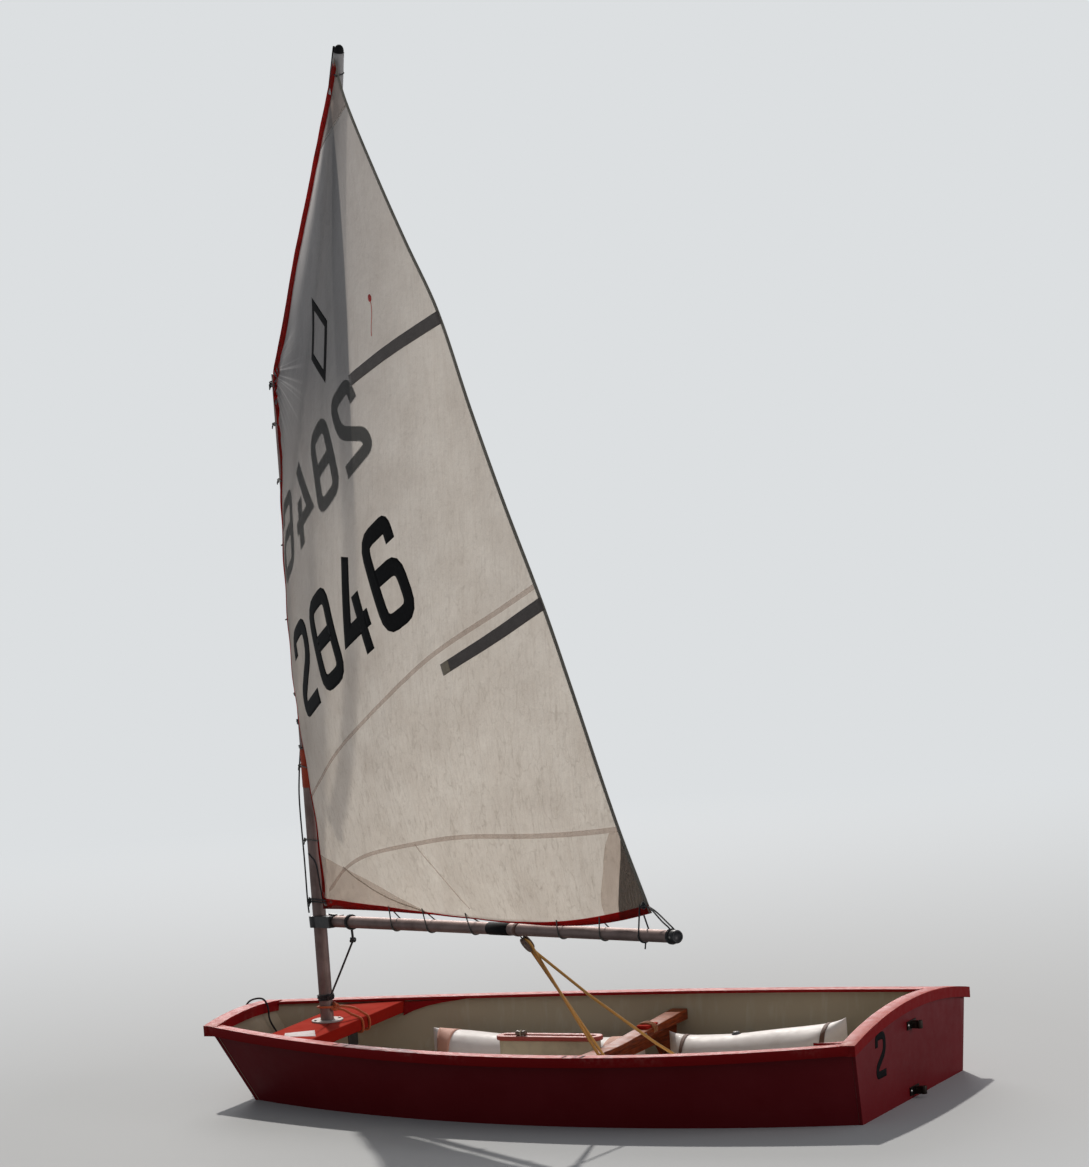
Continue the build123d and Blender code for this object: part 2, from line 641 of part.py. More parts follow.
def block(centre, axle):
    """A pulley block turned in one: two round cheeks with a grooved wheel and its pin between them."""
    half = BLOCK_THROAT / 2
    outer = half + BLOCK_CHEEK
    profile = [
        (0, -outer - BLOCK_PIN_PROUD), (BLOCK_PIN_RADIUS, -outer - BLOCK_PIN_PROUD), (BLOCK_PIN_RADIUS, -outer),
        (BLOCK_RADIUS, -outer), (BLOCK_RADIUS, -half), (BLOCK_SHEAVE_RADIUS, -half), (BLOCK_SHEAVE_RADIUS - BLOCK_GROOVE, 0),
        (BLOCK_SHEAVE_RADIUS, half), (BLOCK_RADIUS, half), (BLOCK_RADIUS, outer), (BLOCK_PIN_RADIUS, outer),
        (BLOCK_PIN_RADIUS, outer + BLOCK_PIN_PROUD), (0, outer + BLOCK_PIN_PROUD)]
    plane = Plane(origin=centre, z_dir=axle)
    wire = Wire.make_polygon([centre + plane.x_dir * r + axle * h for r, h in profile], close=True)
    return Solid.revolve(Face(wire), 360, Axis(centre, axle))


def floor_block(floor):
    """A block on a short post over a round pad, for the mainsheet."""
    z = floor_z(FLOOR_BLOCK_X)
    centre = Vector(FLOOR_BLOCK_X, 0, z + FLOOR_BLOCK_LIFT + BLOCK_RADIUS)
    pad = upright(FLOOR_PAD_RADIUS, z - 2, z + FLOOR_PAD_THICKNESS, FLOOR_BLOCK_X, 0) - floor
    post = upright(FLOOR_POST_RADIUS, z + 2, centre.Z - BLOCK_RADIUS + 5, FLOOR_BLOCK_X, 0)
    saddle = box_between(centre.X - 9, centre.X + 9, -(BLOCK_THROAT / 2 + BLOCK_CHEEK), BLOCK_THROAT / 2 + BLOCK_CHEEK,
                         centre.Z - BLOCK_RADIUS - 3, centre.Z - BLOCK_SHEAVE_RADIUS - 1.5)
    return largest(pad + post + saddle + block(centre, Vector(0, 1, 0))), centre


def boom_block():
    """A strop round the boom with a block hung from it, pointing to the floor block."""
    ring_at = boom_point(BOOM_BLOCK_REACH)
    way = (boom_point(1) - boom_point(0)).normalized()
    target = Vector(FLOOR_BLOCK_X, 0, floor_z(FLOOR_BLOCK_X) + FLOOR_BLOCK_LIFT)
    down = (target - ring_at).normalized()
    axle = down.cross(way).normalized()
    half = BOOM_STROP_WIDTH / 2
    outer = BOOM_RADIUS + BOOM_STROP_GAUGE
    strop = rod(ring_at - way * half, ring_at + way * half, outer)
    centre = ring_at + down * BOOM_BLOCK_DROP
    head = centre - down * (BLOCK_SHEAVE_RADIUS + BLOCK_NECK_RADIUS + BLOCK_HEAD_GAP)
    reach = axle * (BLOCK_THROAT / 2 + BLOCK_CHEEK)
    neck = rod(ring_at, head, BLOCK_NECK_RADIUS) + rod(head - reach, head + reach, BLOCK_NECK_RADIUS)
    piece = strop + neck + block(centre, axle)
    return largest(piece - rod(ring_at - way * 40, ring_at + way * 40, BOOM_RADIUS)), centre


def painter_route():
    """The painter's points: from the eye up over the bow's rim, down inside the board to the floor."""
    eye = bow_eye()[1]
    clear = PAINTER_RADIUS * 3
    rim_z = side_point(1, top_up(1)).Z + BOW_CROWN + RAIL_CAP + clear
    rim_out = BOW_X + TRANSOM_THICKNESS + CAP_LIP + clear - 4
    rim_in = BOW_X - CAP_INSIDE - clear
    points = [(eye.X + 4, -EYE_BORE_RADIUS, eye.Z + 14), (eye.X + 18, -24, eye.Z + 26), (rim_out + 4, -52, eye.Z + 52),
              (rim_out + 8, -80, rim_z - 36), (rim_out - 2, -98, rim_z - 4), (rim_out - 34, -105, rim_z + 5),
              (rim_in + 6, -108, rim_z + 1), (rim_in - 6, -109, rim_z - 26)]
    for z, y in PAINTER_DOWN:
        points.append((bow_board(z)[0] - PAINTER_BOARD_GAP, y, z))
    low = floor_z(COIL_X + 60) + PAINTER_RADIUS + 0.5
    points += [(COIL_X + 62, COIL_Y + 40, low + 8), (COIL_X + 30, COIL_Y + COIL_MID_RADIUS, low + 1)]
    return [Vector(*p) for p in points]


def painter():
    """The part of the painter that isn't coiled, as straight runs joined by arcs."""
    points = painter_route()
    radii = []
    for a, b, c in zip(points, points[1:], points[2:]):
        first, second = b - a, c - b
        turn = math.radians(first.get_angle(second))
        radii.append(0.45 * min(first.length, second.length) / math.tan(turn / 2))
    path = FilletPolyline(*points, radius=radii)
    start = path @ 0
    profile = Wire.make_circle(PAINTER_RADIUS, Plane(origin=start, z_dir=path % 0))
    tube_piece = Solid.sweep(Face(profile), path.wire())
    return tube_piece


def painter_coil():
    """The put-away length, a plain ring of the coil's outer shape lying on the floor."""
    z = floor_z(COIL_X + COIL_MID_RADIUS) + COIL_HEIGHT / 2 + 1
    tilt = math.degrees(math.atan2(COIL_X - ROCKER_LOW_X, ROCKER_RADIUS))
    section = Plane(origin=(COIL_MID_RADIUS, 0, 0), z_dir=(0, 1, 0)) * RectangleRounded(COIL_WIDTH, COIL_HEIGHT, COIL_WIDTH * 0.3)
    ring = revolve(section, Axis.Z)
    return ring.moved(Location((COIL_X, COIL_Y, z), (0, -tilt, 0)))


def hull_pieces():
    pieces = hull_panels()
    slot = slot_cutter()
    pieces["bottom_panel"] = largest(pieces["bottom_panel"] - slot)
    pieces["stern_transom"] = transom(0, STERN_CROWN, -1)
    pieces["bow_transom"] = transom(1, BOW_CROWN, 1)
    boards = [pieces["stern_transom"], pieces["bow_transom"]]
    outer = outer_form()
    planks = [pieces["side_panel_port"], pieces["side_panel_starboard"]]
    for name, side in SIDES.items():
        pieces[f"gunwale_{name}"] = largest(gunwale(side) - [outer, *boards, *planks])
    rails = [pieces["gunwale_port"], pieces["gunwale_starboard"]]
    pieces["stern_cap"] = end_cap(0, STERN_CROWN, -1, boards + rails + planks)
    pieces["bow_cap"] = end_cap(1, BOW_CROWN, 1, boards + rails + planks)
    for name, side in SIDES.items():
        pieces[f"stern_knee_{name}"] = knee(side, rails + planks + [pieces["stern_cap"]])
    between, floor = inner_form(), pieces["bottom_panel"]
    pieces["mast_thwart"] = mast_thwart(between)
    pieces["mast_collar"] = mast_collar()
    pieces["mast_step"] = mast_step(floor)
    pieces["daggerboard_trunk"] = daggerboard_trunk(floor)
    pieces["trunk_cap"] = trunk_cap()
    pieces["cross_frame"] = cross_frame(between, floor, pieces["daggerboard_trunk"])
    pieces["cross_frame_cap"] = cross_frame_cap(between, pieces["trunk_cap"], pieces["daggerboard_trunk"])
    for name, fore_x, aft_x, fore_gap, aft_gap, seam in BAGS:
        for where, side in SIDES.items():
            pieces[f"{name}_{where}"] = buoyancy_bag(side, fore_x, aft_x, fore_gap, aft_gap, seam)
    for name, z in (("gudgeon_upper", GUDGEON_UPPER_Z), ("gudgeon_lower", GUDGEON_LOWER_Z)):
        pieces[name] = largest(gudgeon(z) - pieces["stern_transom"] - pieces["stern_cap"])
    eye, centre = bow_eye()
    pieces["bow_eye"] = largest(eye - pieces["bow_transom"])
    pieces["painter_coil"] = largest(painter_coil())
    pieces["painter"] = largest(painter() - pieces["painter_coil"])
    pieces["floor_block"], centre = floor_block(floor)
    return pieces


def rig_pieces():
    pieces = {}
    foot, top = mast_axis(mast_foot_z()), mast_axis(MAST_TOP_Z - PLUG_LIP)
    pieces["mast"] = tube(foot, top, MAST_RADIUS)
    pieces["mast_plug"] = largest(
        rod(top, mast_axis(MAST_TOP_Z), MAST_RADIUS) + rod(mast_axis(MAST_TOP_Z - PLUG_LIP - PLUG_LENGTH), top, MAST_RADIUS - TUBE_WALL))
    pieces["boom_jaws"], start = boom_jaws()
    end = boom_point(BOOM_LENGTH - BOOM_CAP_LENGTH * 0.3)
    way = (boom_point(1) - boom_point(0)).normalized()
    pieces["boom"] = tube(boom_point(start), end, BOOM_RADIUS)
    pieces["boom_end_cap"] = cap_over(end, way, BOOM_CAP_LENGTH * 0.3, BOOM_RADIUS, BOOM_CAP_PROUD, BOOM_CAP_LENGTH * 0.7)
    pieces["boom_block"], centre = boom_block()
    heel = mast_axis(MAST_TOP_Z - SPRIT_HEEL_BELOW_MAST_TOP) - to_port(PEAK_SWING_DEG) * SPRIT_OFFSET
    tip = mast_axis(PEAK_Z + SPRIT_TIP_ABOVE_PEAK) + along(PEAK_SWING_DEG) * (PEAK_REACH - 4) - to_port(PEAK_SWING_DEG) * (SPRIT_RADIUS + SPRIT_CAP_PROUD + SAIL_GAUGE)
    way = (tip - heel).normalized()
    low, high = heel + way * 12, tip - way * 10
    pieces["sprit"] = tube(low, high, SPRIT_RADIUS)
    pieces["sprit_heel_cap"] = cap_over(low, way * -1, 12, SPRIT_RADIUS, SPRIT_CAP_PROUD, SPRIT_CAP_LENGTH)
    pieces["sprit_peak_cap"] = cap_over(high, way, 10, SPRIT_RADIUS, SPRIT_CAP_PROUD, SPRIT_CAP_LENGTH)
    pieces["sail"] = sail_patch(lambda across, up: (across, up), SAIL_COLUMNS, SAIL_ROWS, 0, SAIL_GAUGE)
    for name, *ends, width in BATTENS:
        pieces[name] = batten(*ends, width)
    return pieces


def main():
    os.makedirs("parts", exist_ok=True)
    for made in (hull_pieces(), rig_pieces()):
        for name, piece in made.items():
            export_step(piece, f"parts/{name}.step")


main()
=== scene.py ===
"""Looks of a small pram-bowed sailing dinghy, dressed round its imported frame.

Lengths are metres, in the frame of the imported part: +X to the bow, +Y to port, +Z up.
"""
from __future__ import annotations

import logging
from dataclasses import dataclass, field
from enum import Enum
from math import atan2, copysign, cos, exp, hypot, pi, radians, sin, tan
from typing import Any, Callable, ClassVar, Mapping, Sequence

import bmesh
import bpy
from bpy.types import Material, Mesh, Node, NodeSocket, NodeTree, Object
from mathutils import Matrix, Vector, noise


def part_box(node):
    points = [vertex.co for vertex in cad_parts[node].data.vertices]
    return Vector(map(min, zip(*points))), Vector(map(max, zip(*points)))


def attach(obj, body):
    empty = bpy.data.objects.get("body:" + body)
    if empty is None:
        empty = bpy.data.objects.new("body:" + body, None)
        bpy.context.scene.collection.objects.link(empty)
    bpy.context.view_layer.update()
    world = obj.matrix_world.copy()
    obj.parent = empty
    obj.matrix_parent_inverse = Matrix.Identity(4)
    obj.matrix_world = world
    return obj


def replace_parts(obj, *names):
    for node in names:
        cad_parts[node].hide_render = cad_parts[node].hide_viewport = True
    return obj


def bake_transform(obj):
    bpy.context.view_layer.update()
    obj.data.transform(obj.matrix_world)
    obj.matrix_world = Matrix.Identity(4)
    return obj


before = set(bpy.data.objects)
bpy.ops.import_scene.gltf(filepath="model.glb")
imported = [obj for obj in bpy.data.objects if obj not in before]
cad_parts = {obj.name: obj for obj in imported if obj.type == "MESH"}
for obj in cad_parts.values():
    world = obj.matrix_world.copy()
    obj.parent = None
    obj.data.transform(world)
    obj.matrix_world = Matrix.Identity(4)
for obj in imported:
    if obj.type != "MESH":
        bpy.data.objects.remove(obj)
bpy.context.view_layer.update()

LOG = logging.getLogger("dinghy")
WATERLINE_Z = 0.139
UP = Vector((0, 0, 1))
Place = Callable[[float, float], tuple[float, float]]


class Body(Enum):
    """The bodies that pieces ride on."""

    HULL = "hull"
    RIG = "rig"


def linear(code: str) -> tuple[float, float, float, float]:
    """Turn an sRGB hex colour such as "#8a1c20" into linear red, green, blue and alpha."""
    channels = [int(code[i : i + 2], 16) / 255 for i in (1, 3, 5)]
    return (*[c / 12.92 if c <= 0.04045 else ((c + 0.055) / 1.055) ** 2.4 for c in channels], 1.0)


def per_metre(size_mm: float) -> float:
    """The texture scale at which one feature is this many millimetres."""
    return 1000.0 / size_mm


def plug_in(node: Node, inputs: Mapping[Any, Any] | Sequence[Any]) -> None:
    """Set or link a node's sockets.

    Args:
        node: The node.
        inputs: A value or another node's socket for each, by the sockets' names or in the order that
            the node shows them.
    """
    if isinstance(inputs, Mapping):
        pairs = [(node.inputs[name], value) for name, value in inputs.items()]
    else:
        pairs = list(zip([socket for socket in node.inputs if socket.enabled], inputs))
    for socket, value in pairs:
        if isinstance(value, NodeSocket):
            node.id_data.links.new(value, socket)
        else:
            socket.default_value = value


def add_node(tree: NodeTree, kind: str, inputs: Mapping[Any, Any] | Sequence[Any] = (), out: str | int | None = None,
             **settings: Any) -> NodeSocket:
    """Add a shader node.

    Args:
        tree: The material's node tree.
        kind: The node's type name, after "ShaderNode".
        inputs: What goes into its sockets, as for plug_in().
        out: Which of its outputs is wanted, if not the first that it shows.
        settings: Attributes of the node itself.

    Returns:
        That output.
    """
    node = tree.nodes.new(f"ShaderNode{kind}")
    for name, value in settings.items():
        setattr(node, name, value)
    plug_in(node, inputs)
    return node.outputs[out] if out is not None else next(s for s in node.outputs if s.enabled)


@dataclass(frozen=True)
class Finish:
    """What every finish shares: a name, and a material that is built once."""

    name: str

    def material(self) -> Material:
        """The material, built when it is first asked for."""
        known = bpy.data.materials.get(self.name)
        if known is not None:
            return known
        made = bpy.data.materials.new(self.name)
        made.use_nodes = True
        tree = made.node_tree
        tree.nodes.clear()
        shader = add_node(tree, "BsdfPrincipled").node
        plug_in(tree.nodes.new("ShaderNodeOutputMaterial"), (self.dress(tree, shader),))
        return made

    def dress(self, tree: NodeTree, shader: Node) -> NodeSocket:
        """Set the shader up.

        Args:
            tree: The material's node tree.
            shader: Its Principled shader.

        Returns:
            The socket that goes to the material's surface.
        """
        return shader.outputs[0]

    def object_point(self, tree: NodeTree) -> NodeSocket:
        """The point in the part's own frame, in metres."""
        return add_node(tree, "TexCoord", out="Object")

    def cloud(self, tree: NodeTree, size_mm: float, detail: float = 3.0,
              stretch: Sequence[float] = (1.0, 1.0, 1.0), levels: Sequence[float] = ()) -> NodeSocket:
        """Soft noise in the part's own frame, with features of a size.

        Args:
            tree: The material's node tree.
            size_mm: The size of a feature in millimetres.
            detail: How many finer layers it has.
            stretch: How much closer together the features are along each axis.
            levels: The two values that it is stretched between, and what they become if not 0 and 1.

        Returns:
            The noise's value socket, from 0 to 1 if it has no levels.
        """
        spread = add_node(tree, "Mapping", {"Vector": self.object_point(tree), "Scale": Vector(stretch)})
        noisy = add_node(tree, "TexNoise", {"Vector": spread, "Scale": per_metre(size_mm), "Detail": detail,
            "Roughness": 0.55})
        return add_node(tree, "MapRange", (noisy, *levels)) if levels else noisy

    def layers(self, tree: NodeTree, base: str | NodeSocket, *over: tuple[NodeSocket, str | NodeSocket]) -> NodeSocket:
        """Lay colours over a colour, one after the other.

        Args:
            tree: The material's node tree.
            base: The lowest colour, a hex value or a socket.
            over: The share of each further colour, and the colour.

        Returns:
            The socket of the mixed colour.
        """
        shown = linear(base) if isinstance(base, str) else base
        for share, colour in over:
            upper = linear(colour) if isinstance(colour, str) else colour
            shown = add_node(tree, "Mix", (share, shown, upper), data_type="RGBA")
        return shown

    def weave(self, tree: NodeTree, pitch_mm: float) -> NodeSocket:
        """Threads that cross this far apart, from -1 to 1, in the piece's own coordinates in metres."""
        parts = add_node(tree, "SeparateXYZ", (add_node(tree, "TexCoord", out="UV"),)).node
        waves = []
        for axis in (0, 1):
            run = add_node(tree, "Math", (parts.outputs[axis], 2 * pi * per_metre(pitch_mm)), operation="MULTIPLY")
            waves.append(add_node(tree, "Math", (run,), operation="SINE"))
        return add_node(tree, "Math", (waves[0], waves[1]), operation="MULTIPLY")

    def relief(self, tree: NodeTree, shader: Node, height: NodeSocket, depth_mm: float,
               under: NodeSocket | None = None) -> NodeSocket:
        """Bump the shader's surface by a height of this many millimetres."""
        lower = {} if under is None else {"Normal": under}
        bump = add_node(tree, "Bump", {"Height": height, "Distance": depth_mm / 1000, "Strength": 1.0, **lower})
        plug_in(shader, {"Normal": bump})
        return bump


@dataclass(frozen=True)
class HullLaminate(Finish):
    """Moulded glass-fibre laminate with a polyester gelcoat: glossy pigmented outside, rolled flow coat inside."""

    outside: str = "#74131a"
    inside: str = "#aba08a"
    grime: str = "#6c6350"
    weathered: str = "#84282e"
    middle_z: float = 0.22

    def dress(self, tree: NodeTree, shader: Node) -> NodeSocket:
        """Red outside, where the surface faces away from the boat's middle, and grey-beige inside."""
        place = add_node(tree, "TexCoord").node
        from_middle = add_node(tree, "VectorMath", (place.outputs["Object"], (0.0, 0.0, self.middle_z)),
                               operation="SUBTRACT")
        facing = add_node(tree, "VectorMath", (from_middle, place.outputs["Normal"]), operation="DOT_PRODUCT").node
        is_outside = add_node(tree, "Math", (facing.outputs["Value"], 0.0), operation="GREATER_THAN")
        # A moulded gelcoat chalks in broad clouds, and its rubbed places go paler
        faded = self.cloud(tree, 260, 4, levels=(0.35, 0.75, 0.0, 0.55))
        scuffs = self.cloud(tree, 9, 6, (0.15, 0.15, 3.0), levels=(0.62, 0.70, 0.0, 0.5))
        red = self.layers(tree, self.outside, (faded, self.weathered), (scuffs, self.weathered))
        # Water leaves pale runs down the inside, and dirt gathers low
        runs = self.cloud(tree, 26, 2, (1.0, 1.0, 0.06), levels=(0.56, 0.74, 0.0, 0.38))
        height = add_node(tree, "SeparateXYZ", (place.outputs["Object"],), out=2)
        low = add_node(tree, "MapRange", (height, 0.02, 0.20, 0.6, 0.0))
        blotch = self.cloud(tree, 70, 5, levels=(0.40, 0.70))
        dirt = add_node(tree, "Math", (low, blotch), operation="MULTIPLY")
        pale = self.layers(tree, self.inside, (runs, "#bab6a6"), (dirt, self.grime))
        gloss = self.cloud(tree, 40, 4, levels=(0.3, 0.7, 0.36, 0.52))
        dull = self.cloud(tree, 15, 3, levels=(0.3, 0.7, 0.5, 0.66))
        rough = add_node(tree, "Mix", (is_outside, dull, gloss), data_type="FLOAT")
        plug_in(shader, {
            "Base Color": self.layers(tree, pale, (is_outside, red)),
            "Roughness": rough, "IOR": 1.5, "Specular IOR Level": 0.22})
        orange_peel = self.relief(tree, shader, self.cloud(tree, 5, 2), 0.05)
        self.relief(tree, shader, self.cloud(tree, 120, 2), 0.8, orange_peel)
        return shader.outputs[0]


@dataclass(frozen=True)
class Gelcoat(Finish):
    """Pigmented polyester gelcoat on a rounded moulding, paler on top, partly faded by the sun and partly painted light
    from above, and rubbed at its edges.
    """

    colour: str = "#8a1417"
    faded: str = "#b8483a"
    rubbed: str = "#c98a80"
    roughness: float = 0.44
    shine: float = 0.07

    def dress(self, tree: NodeTree, shader: Node) -> NodeSocket:
        """Colour by which way the surface faces, with a paler top that is partly sun fading and partly painted light,
        rubbed edges and fine scratches.
        """
        place = add_node(tree, "TexCoord").node
        upward = add_node(tree, "SeparateXYZ", (place.outputs["Normal"],), out=2)
        # Upward faces are paler: partly sun fading, partly a painted highlight of light from above
        sun = add_node(tree, "MapRange", (upward, 0.35, 0.92))
        clouds = self.cloud(tree, 90, 4, levels=(0.3, 0.75, 0.45, 1.0))
        share = add_node(tree, "Math", (sun, clouds), operation="MULTIPLY")
        body = self.layers(tree, self.colour, (share, self.faded))
        edge = add_node(tree, "NewGeometry", out="Pointiness")
        worn = add_node(tree, "MapRange", (edge, 0.53, 0.60, 0.0, 0.14))
        patch = self.cloud(tree, 14, 5, levels=(0.45, 0.62))
        rub = add_node(tree, "Math", (worn, patch), operation="MULTIPLY")
        plug_in(shader, {
            "Base Color": self.layers(tree, body, (rub, self.rubbed)),
            "Roughness": self.cloud(tree, 22, 5, levels=(0.3, 0.75, self.roughness - 0.08, self.roughness + 0.14)),
            "IOR": 1.5, "Specular IOR Level": self.shine})
        self.relief(tree, shader, self.cloud(tree, 5, 2), 0.05)
        return shader.outputs[0]


@dataclass(frozen=True)
class RolledLaminate(Finish):
    """Hand-laid glass-fibre laminate under rolled flow coat: dull, slightly lumpy, stained."""

    colour: str = "#bfb59c"
    stain: str = "#8d8470"

    def dress(self, tree: NodeTree, shader: Node) -> NodeSocket:
        """Blotched grey with a soft brushed relief."""
        blotch = self.cloud(tree, 45, 5, levels=(0.42, 0.75, 0.0, 0.55))
        plug_in(shader, {
            "Base Color": self.layers(tree, self.colour, (blotch, self.stain)),
            "Roughness": 0.58, "IOR": 1.5})
        self.relief(tree, shader, self.cloud(tree, 8, 3), 0.25)
        return shader.outputs[0]


@dataclass(frozen=True)
class VarnishedMahogany(Finish):
    """Mahogany board under old varnish: straight dark grain with short pores, glossy where the varnish holds."""

    dark: str = "#4a1c12"
    light: str = "#96441f"
    bare_and_lit_top: str = "#a8623c"

    def dress(self, tree: NodeTree, shader: Node) -> NodeSocket:
        """Grain that runs athwart, along the board."""
        grain = self.cloud(tree, 9, 5, (2.6, 0.12, 2.6))
        pores = self.cloud(tree, 1.6, 2, (2.0, 0.06, 2.0), levels=(0.58, 0.66, 0.0, 0.7))
        wood = self.layers(tree, self.dark, (add_node(tree, "MapRange", (grain, 0.32, 0.70)), self.light),
                           (pores, "#2c0f09"))
        # Upward faces go paler: partly varnish worn away by feet, partly painted light from above
        place = add_node(tree, "TexCoord").node
        upward = add_node(tree, "SeparateXYZ", (place.outputs["Normal"],), out=2)
        worn_and_lit_top = add_node(tree, "Math", (add_node(tree, "MapRange", (upward, 0.6, 0.95, 0.0, 0.55)),
            self.cloud(tree, 60, 4, levels=(0.3, 0.6, 0.45, 1.0))), operation="MULTIPLY")
        plug_in(shader, {
            "Base Color": self.layers(tree, wood, (worn_and_lit_top, self.bare_and_lit_top)),
            "Roughness": self.cloud(tree, 30, 3, levels=(0.35, 0.7, 0.40, 0.62)),
            "IOR": 1.5, "Specular IOR Level": 0.12})
        self.relief(tree, shader, grain, 0.12)
        return shader.outputs[0]


@dataclass(frozen=True)
class WeldedFilm(Finish):
    """Calendered PVC film, welded at its seams: smooth, slightly waxy, with a soft sheen."""

    colour: str = "#e9e2e0"
    scuff: str = "#cfc3bf"

    def dress(self, tree: NodeTree, shader: Node) -> NodeSocket:
        """Near white, greyed where it has been handled."""
        used = self.cloud(tree, 55, 5, levels=(0.50, 0.80, 0.0, 0.55))
        plug_in(shader, {
            "Base Color": self.layers(tree, self.colour, (used, self.scuff)),
            "Roughness": self.cloud(tree, 25, 3, levels=(0.3, 0.7, 0.50, 0.66)),
            "IOR": 1.53, "Coat Weight": 0.02})
        self.relief(tree, shader, self.cloud(tree, 18, 3), 0.5)
        return shader.outputs[0]


@dataclass(frozen=True)
class MouldedPlastic(Finish):
    """Injection-moulded nylon, spark-eroded texture, greyed by the sun and by rope."""

    colour: str = "#17171a"
    rubbed: str = "#3a3a3d"
    roughness: float = 0.46
    shine: float = 0.5

    def dress(self, tree: NodeTree, shader: Node) -> NodeSocket:
        """A dark body with a fine grained surface."""
        used = self.cloud(tree, 12, 4, levels=(0.45, 0.75, 0.0, 0.7))
        plug_in(shader, {
            "Base Color": self.layers(tree, self.colour, (used, self.rubbed)),
            "Roughness": self.roughness, "IOR": 1.53, "Specular IOR Level": self.shine})
        self.relief(tree, shader, self.cloud(tree, 0.9, 2), 0.04)
        return shader.outputs[0]


@dataclass(frozen=True)
class RolledMetal(Finish):
    """Metal as it leaves the mill or the anodising bath, with fine lines along its length."""

    colour: str = "#b9bcc0"
    tarnish: str = "#7f8183"
    roughness: float = 0.3
    lines: tuple[float, float, float] = (1.0, 1.0, 0.03)

    def dress(self, tree: NodeTree, shader: Node) -> NodeSocket:
        """Metallic, with drawn lines and dull blotches."""
        blotch = self.cloud(tree, 60, 5, levels=(0.42, 0.78, 0.0, 0.7))
        drawn = self.cloud(tree, 1.4, 3, self.lines)
        plug_in(shader, {
            "Base Color": self.layers(tree, self.colour, (blotch, self.tarnish)),
            "Roughness": add_node(tree, "MapRange", (drawn, 0.3, 0.7, self.roughness - 0.06, self.roughness + 0.12)),
            "Metallic": 1.0})
        self.relief(tree, shader, drawn, 0.02)
        return shader.outputs[0]


@dataclass(frozen=True)
class BraidedRope(Finish):
    """Braided polyester rope: two sets of strands cross round it, with a coloured fleck."""

    colour: str = "#dba044"
    shade: str = "#9c6a22"
    fleck: str = "#efd69a"
    pick_mm: float = 3.2
    strands: float = 6.0

    def dress(self, tree: NodeTree, shader: Node) -> NodeSocket:
        """Diamonds from two crossing helices, in the rope's own coordinates of turns and metres."""
        uv = add_node(tree, "TexCoord", out="UV")
        parts = add_node(tree, "SeparateXYZ", (uv,)).node
        turn = add_node(tree, "Math", (parts.outputs[0], 2 * pi * self.strands), operation="MULTIPLY")
        run = add_node(tree, "Math", (parts.outputs[1], 2 * pi * per_metre(self.pick_mm) / 2), operation="MULTIPLY")
        waves = []
        for way in ("ADD", "SUBTRACT"):
            angle = add_node(tree, "Math", (run, turn), operation=way)
            waves.append(add_node(tree, "Math", (angle,), operation="SINE"))
        weave = add_node(tree, "Math", (waves[0], waves[1]), operation="MULTIPLY")
        body = self.layers(tree, self.shade, (add_node(tree, "MapRange", (weave, -0.7, 0.5)), self.colour),
                           (add_node(tree, "MapRange", (waves[0], 0.86, 0.98, 0.0, 0.6)), self.fleck))
        plug_in(shader, {"Base Color": body, "Roughness": 0.74, "Sheen Weight": 0.25, "IOR": 1.5})
        self.relief(tree, shader, weave, 0.35)
        return shader.outputs[0]


@dataclass(frozen=True)
class WovenBand(Finish):
    """Woven polyester webbing or tape: a rib across it and small picks along it."""

    colour: str = "#a2695a"
    shade: str = "#6f4439"
    rib_mm: float = 1.8
    passes_light: float = 0.0

    def dress(self, tree: NodeTree, shader: Node) -> NodeSocket:
        """Ribs in the band's own coordinates: across in metres, along in metres."""
        weave = self.weave(tree, self.rib_mm)
        worn = self.cloud(tree, 30, 4, levels=(0.35, 0.75, 0.0, 0.5))
        body = self.layers(tree, self.shade, (add_node(tree, "MapRange", (weave, -1.0, 0.6)), self.colour),
                           (worn, self.shade))
        plug_in(shader, {"Base Color": body, "Roughness": 0.68, "Sheen Weight": 0.15})
        self.relief(tree, shader, weave, 0.1)
        if not self.passes_light:
            return shader.outputs[0]
        through = add_node(tree, "BsdfTranslucent", {"Color": body})
        return add_node(tree, "MixShader", (self.passes_light, shader.outputs[0], through))


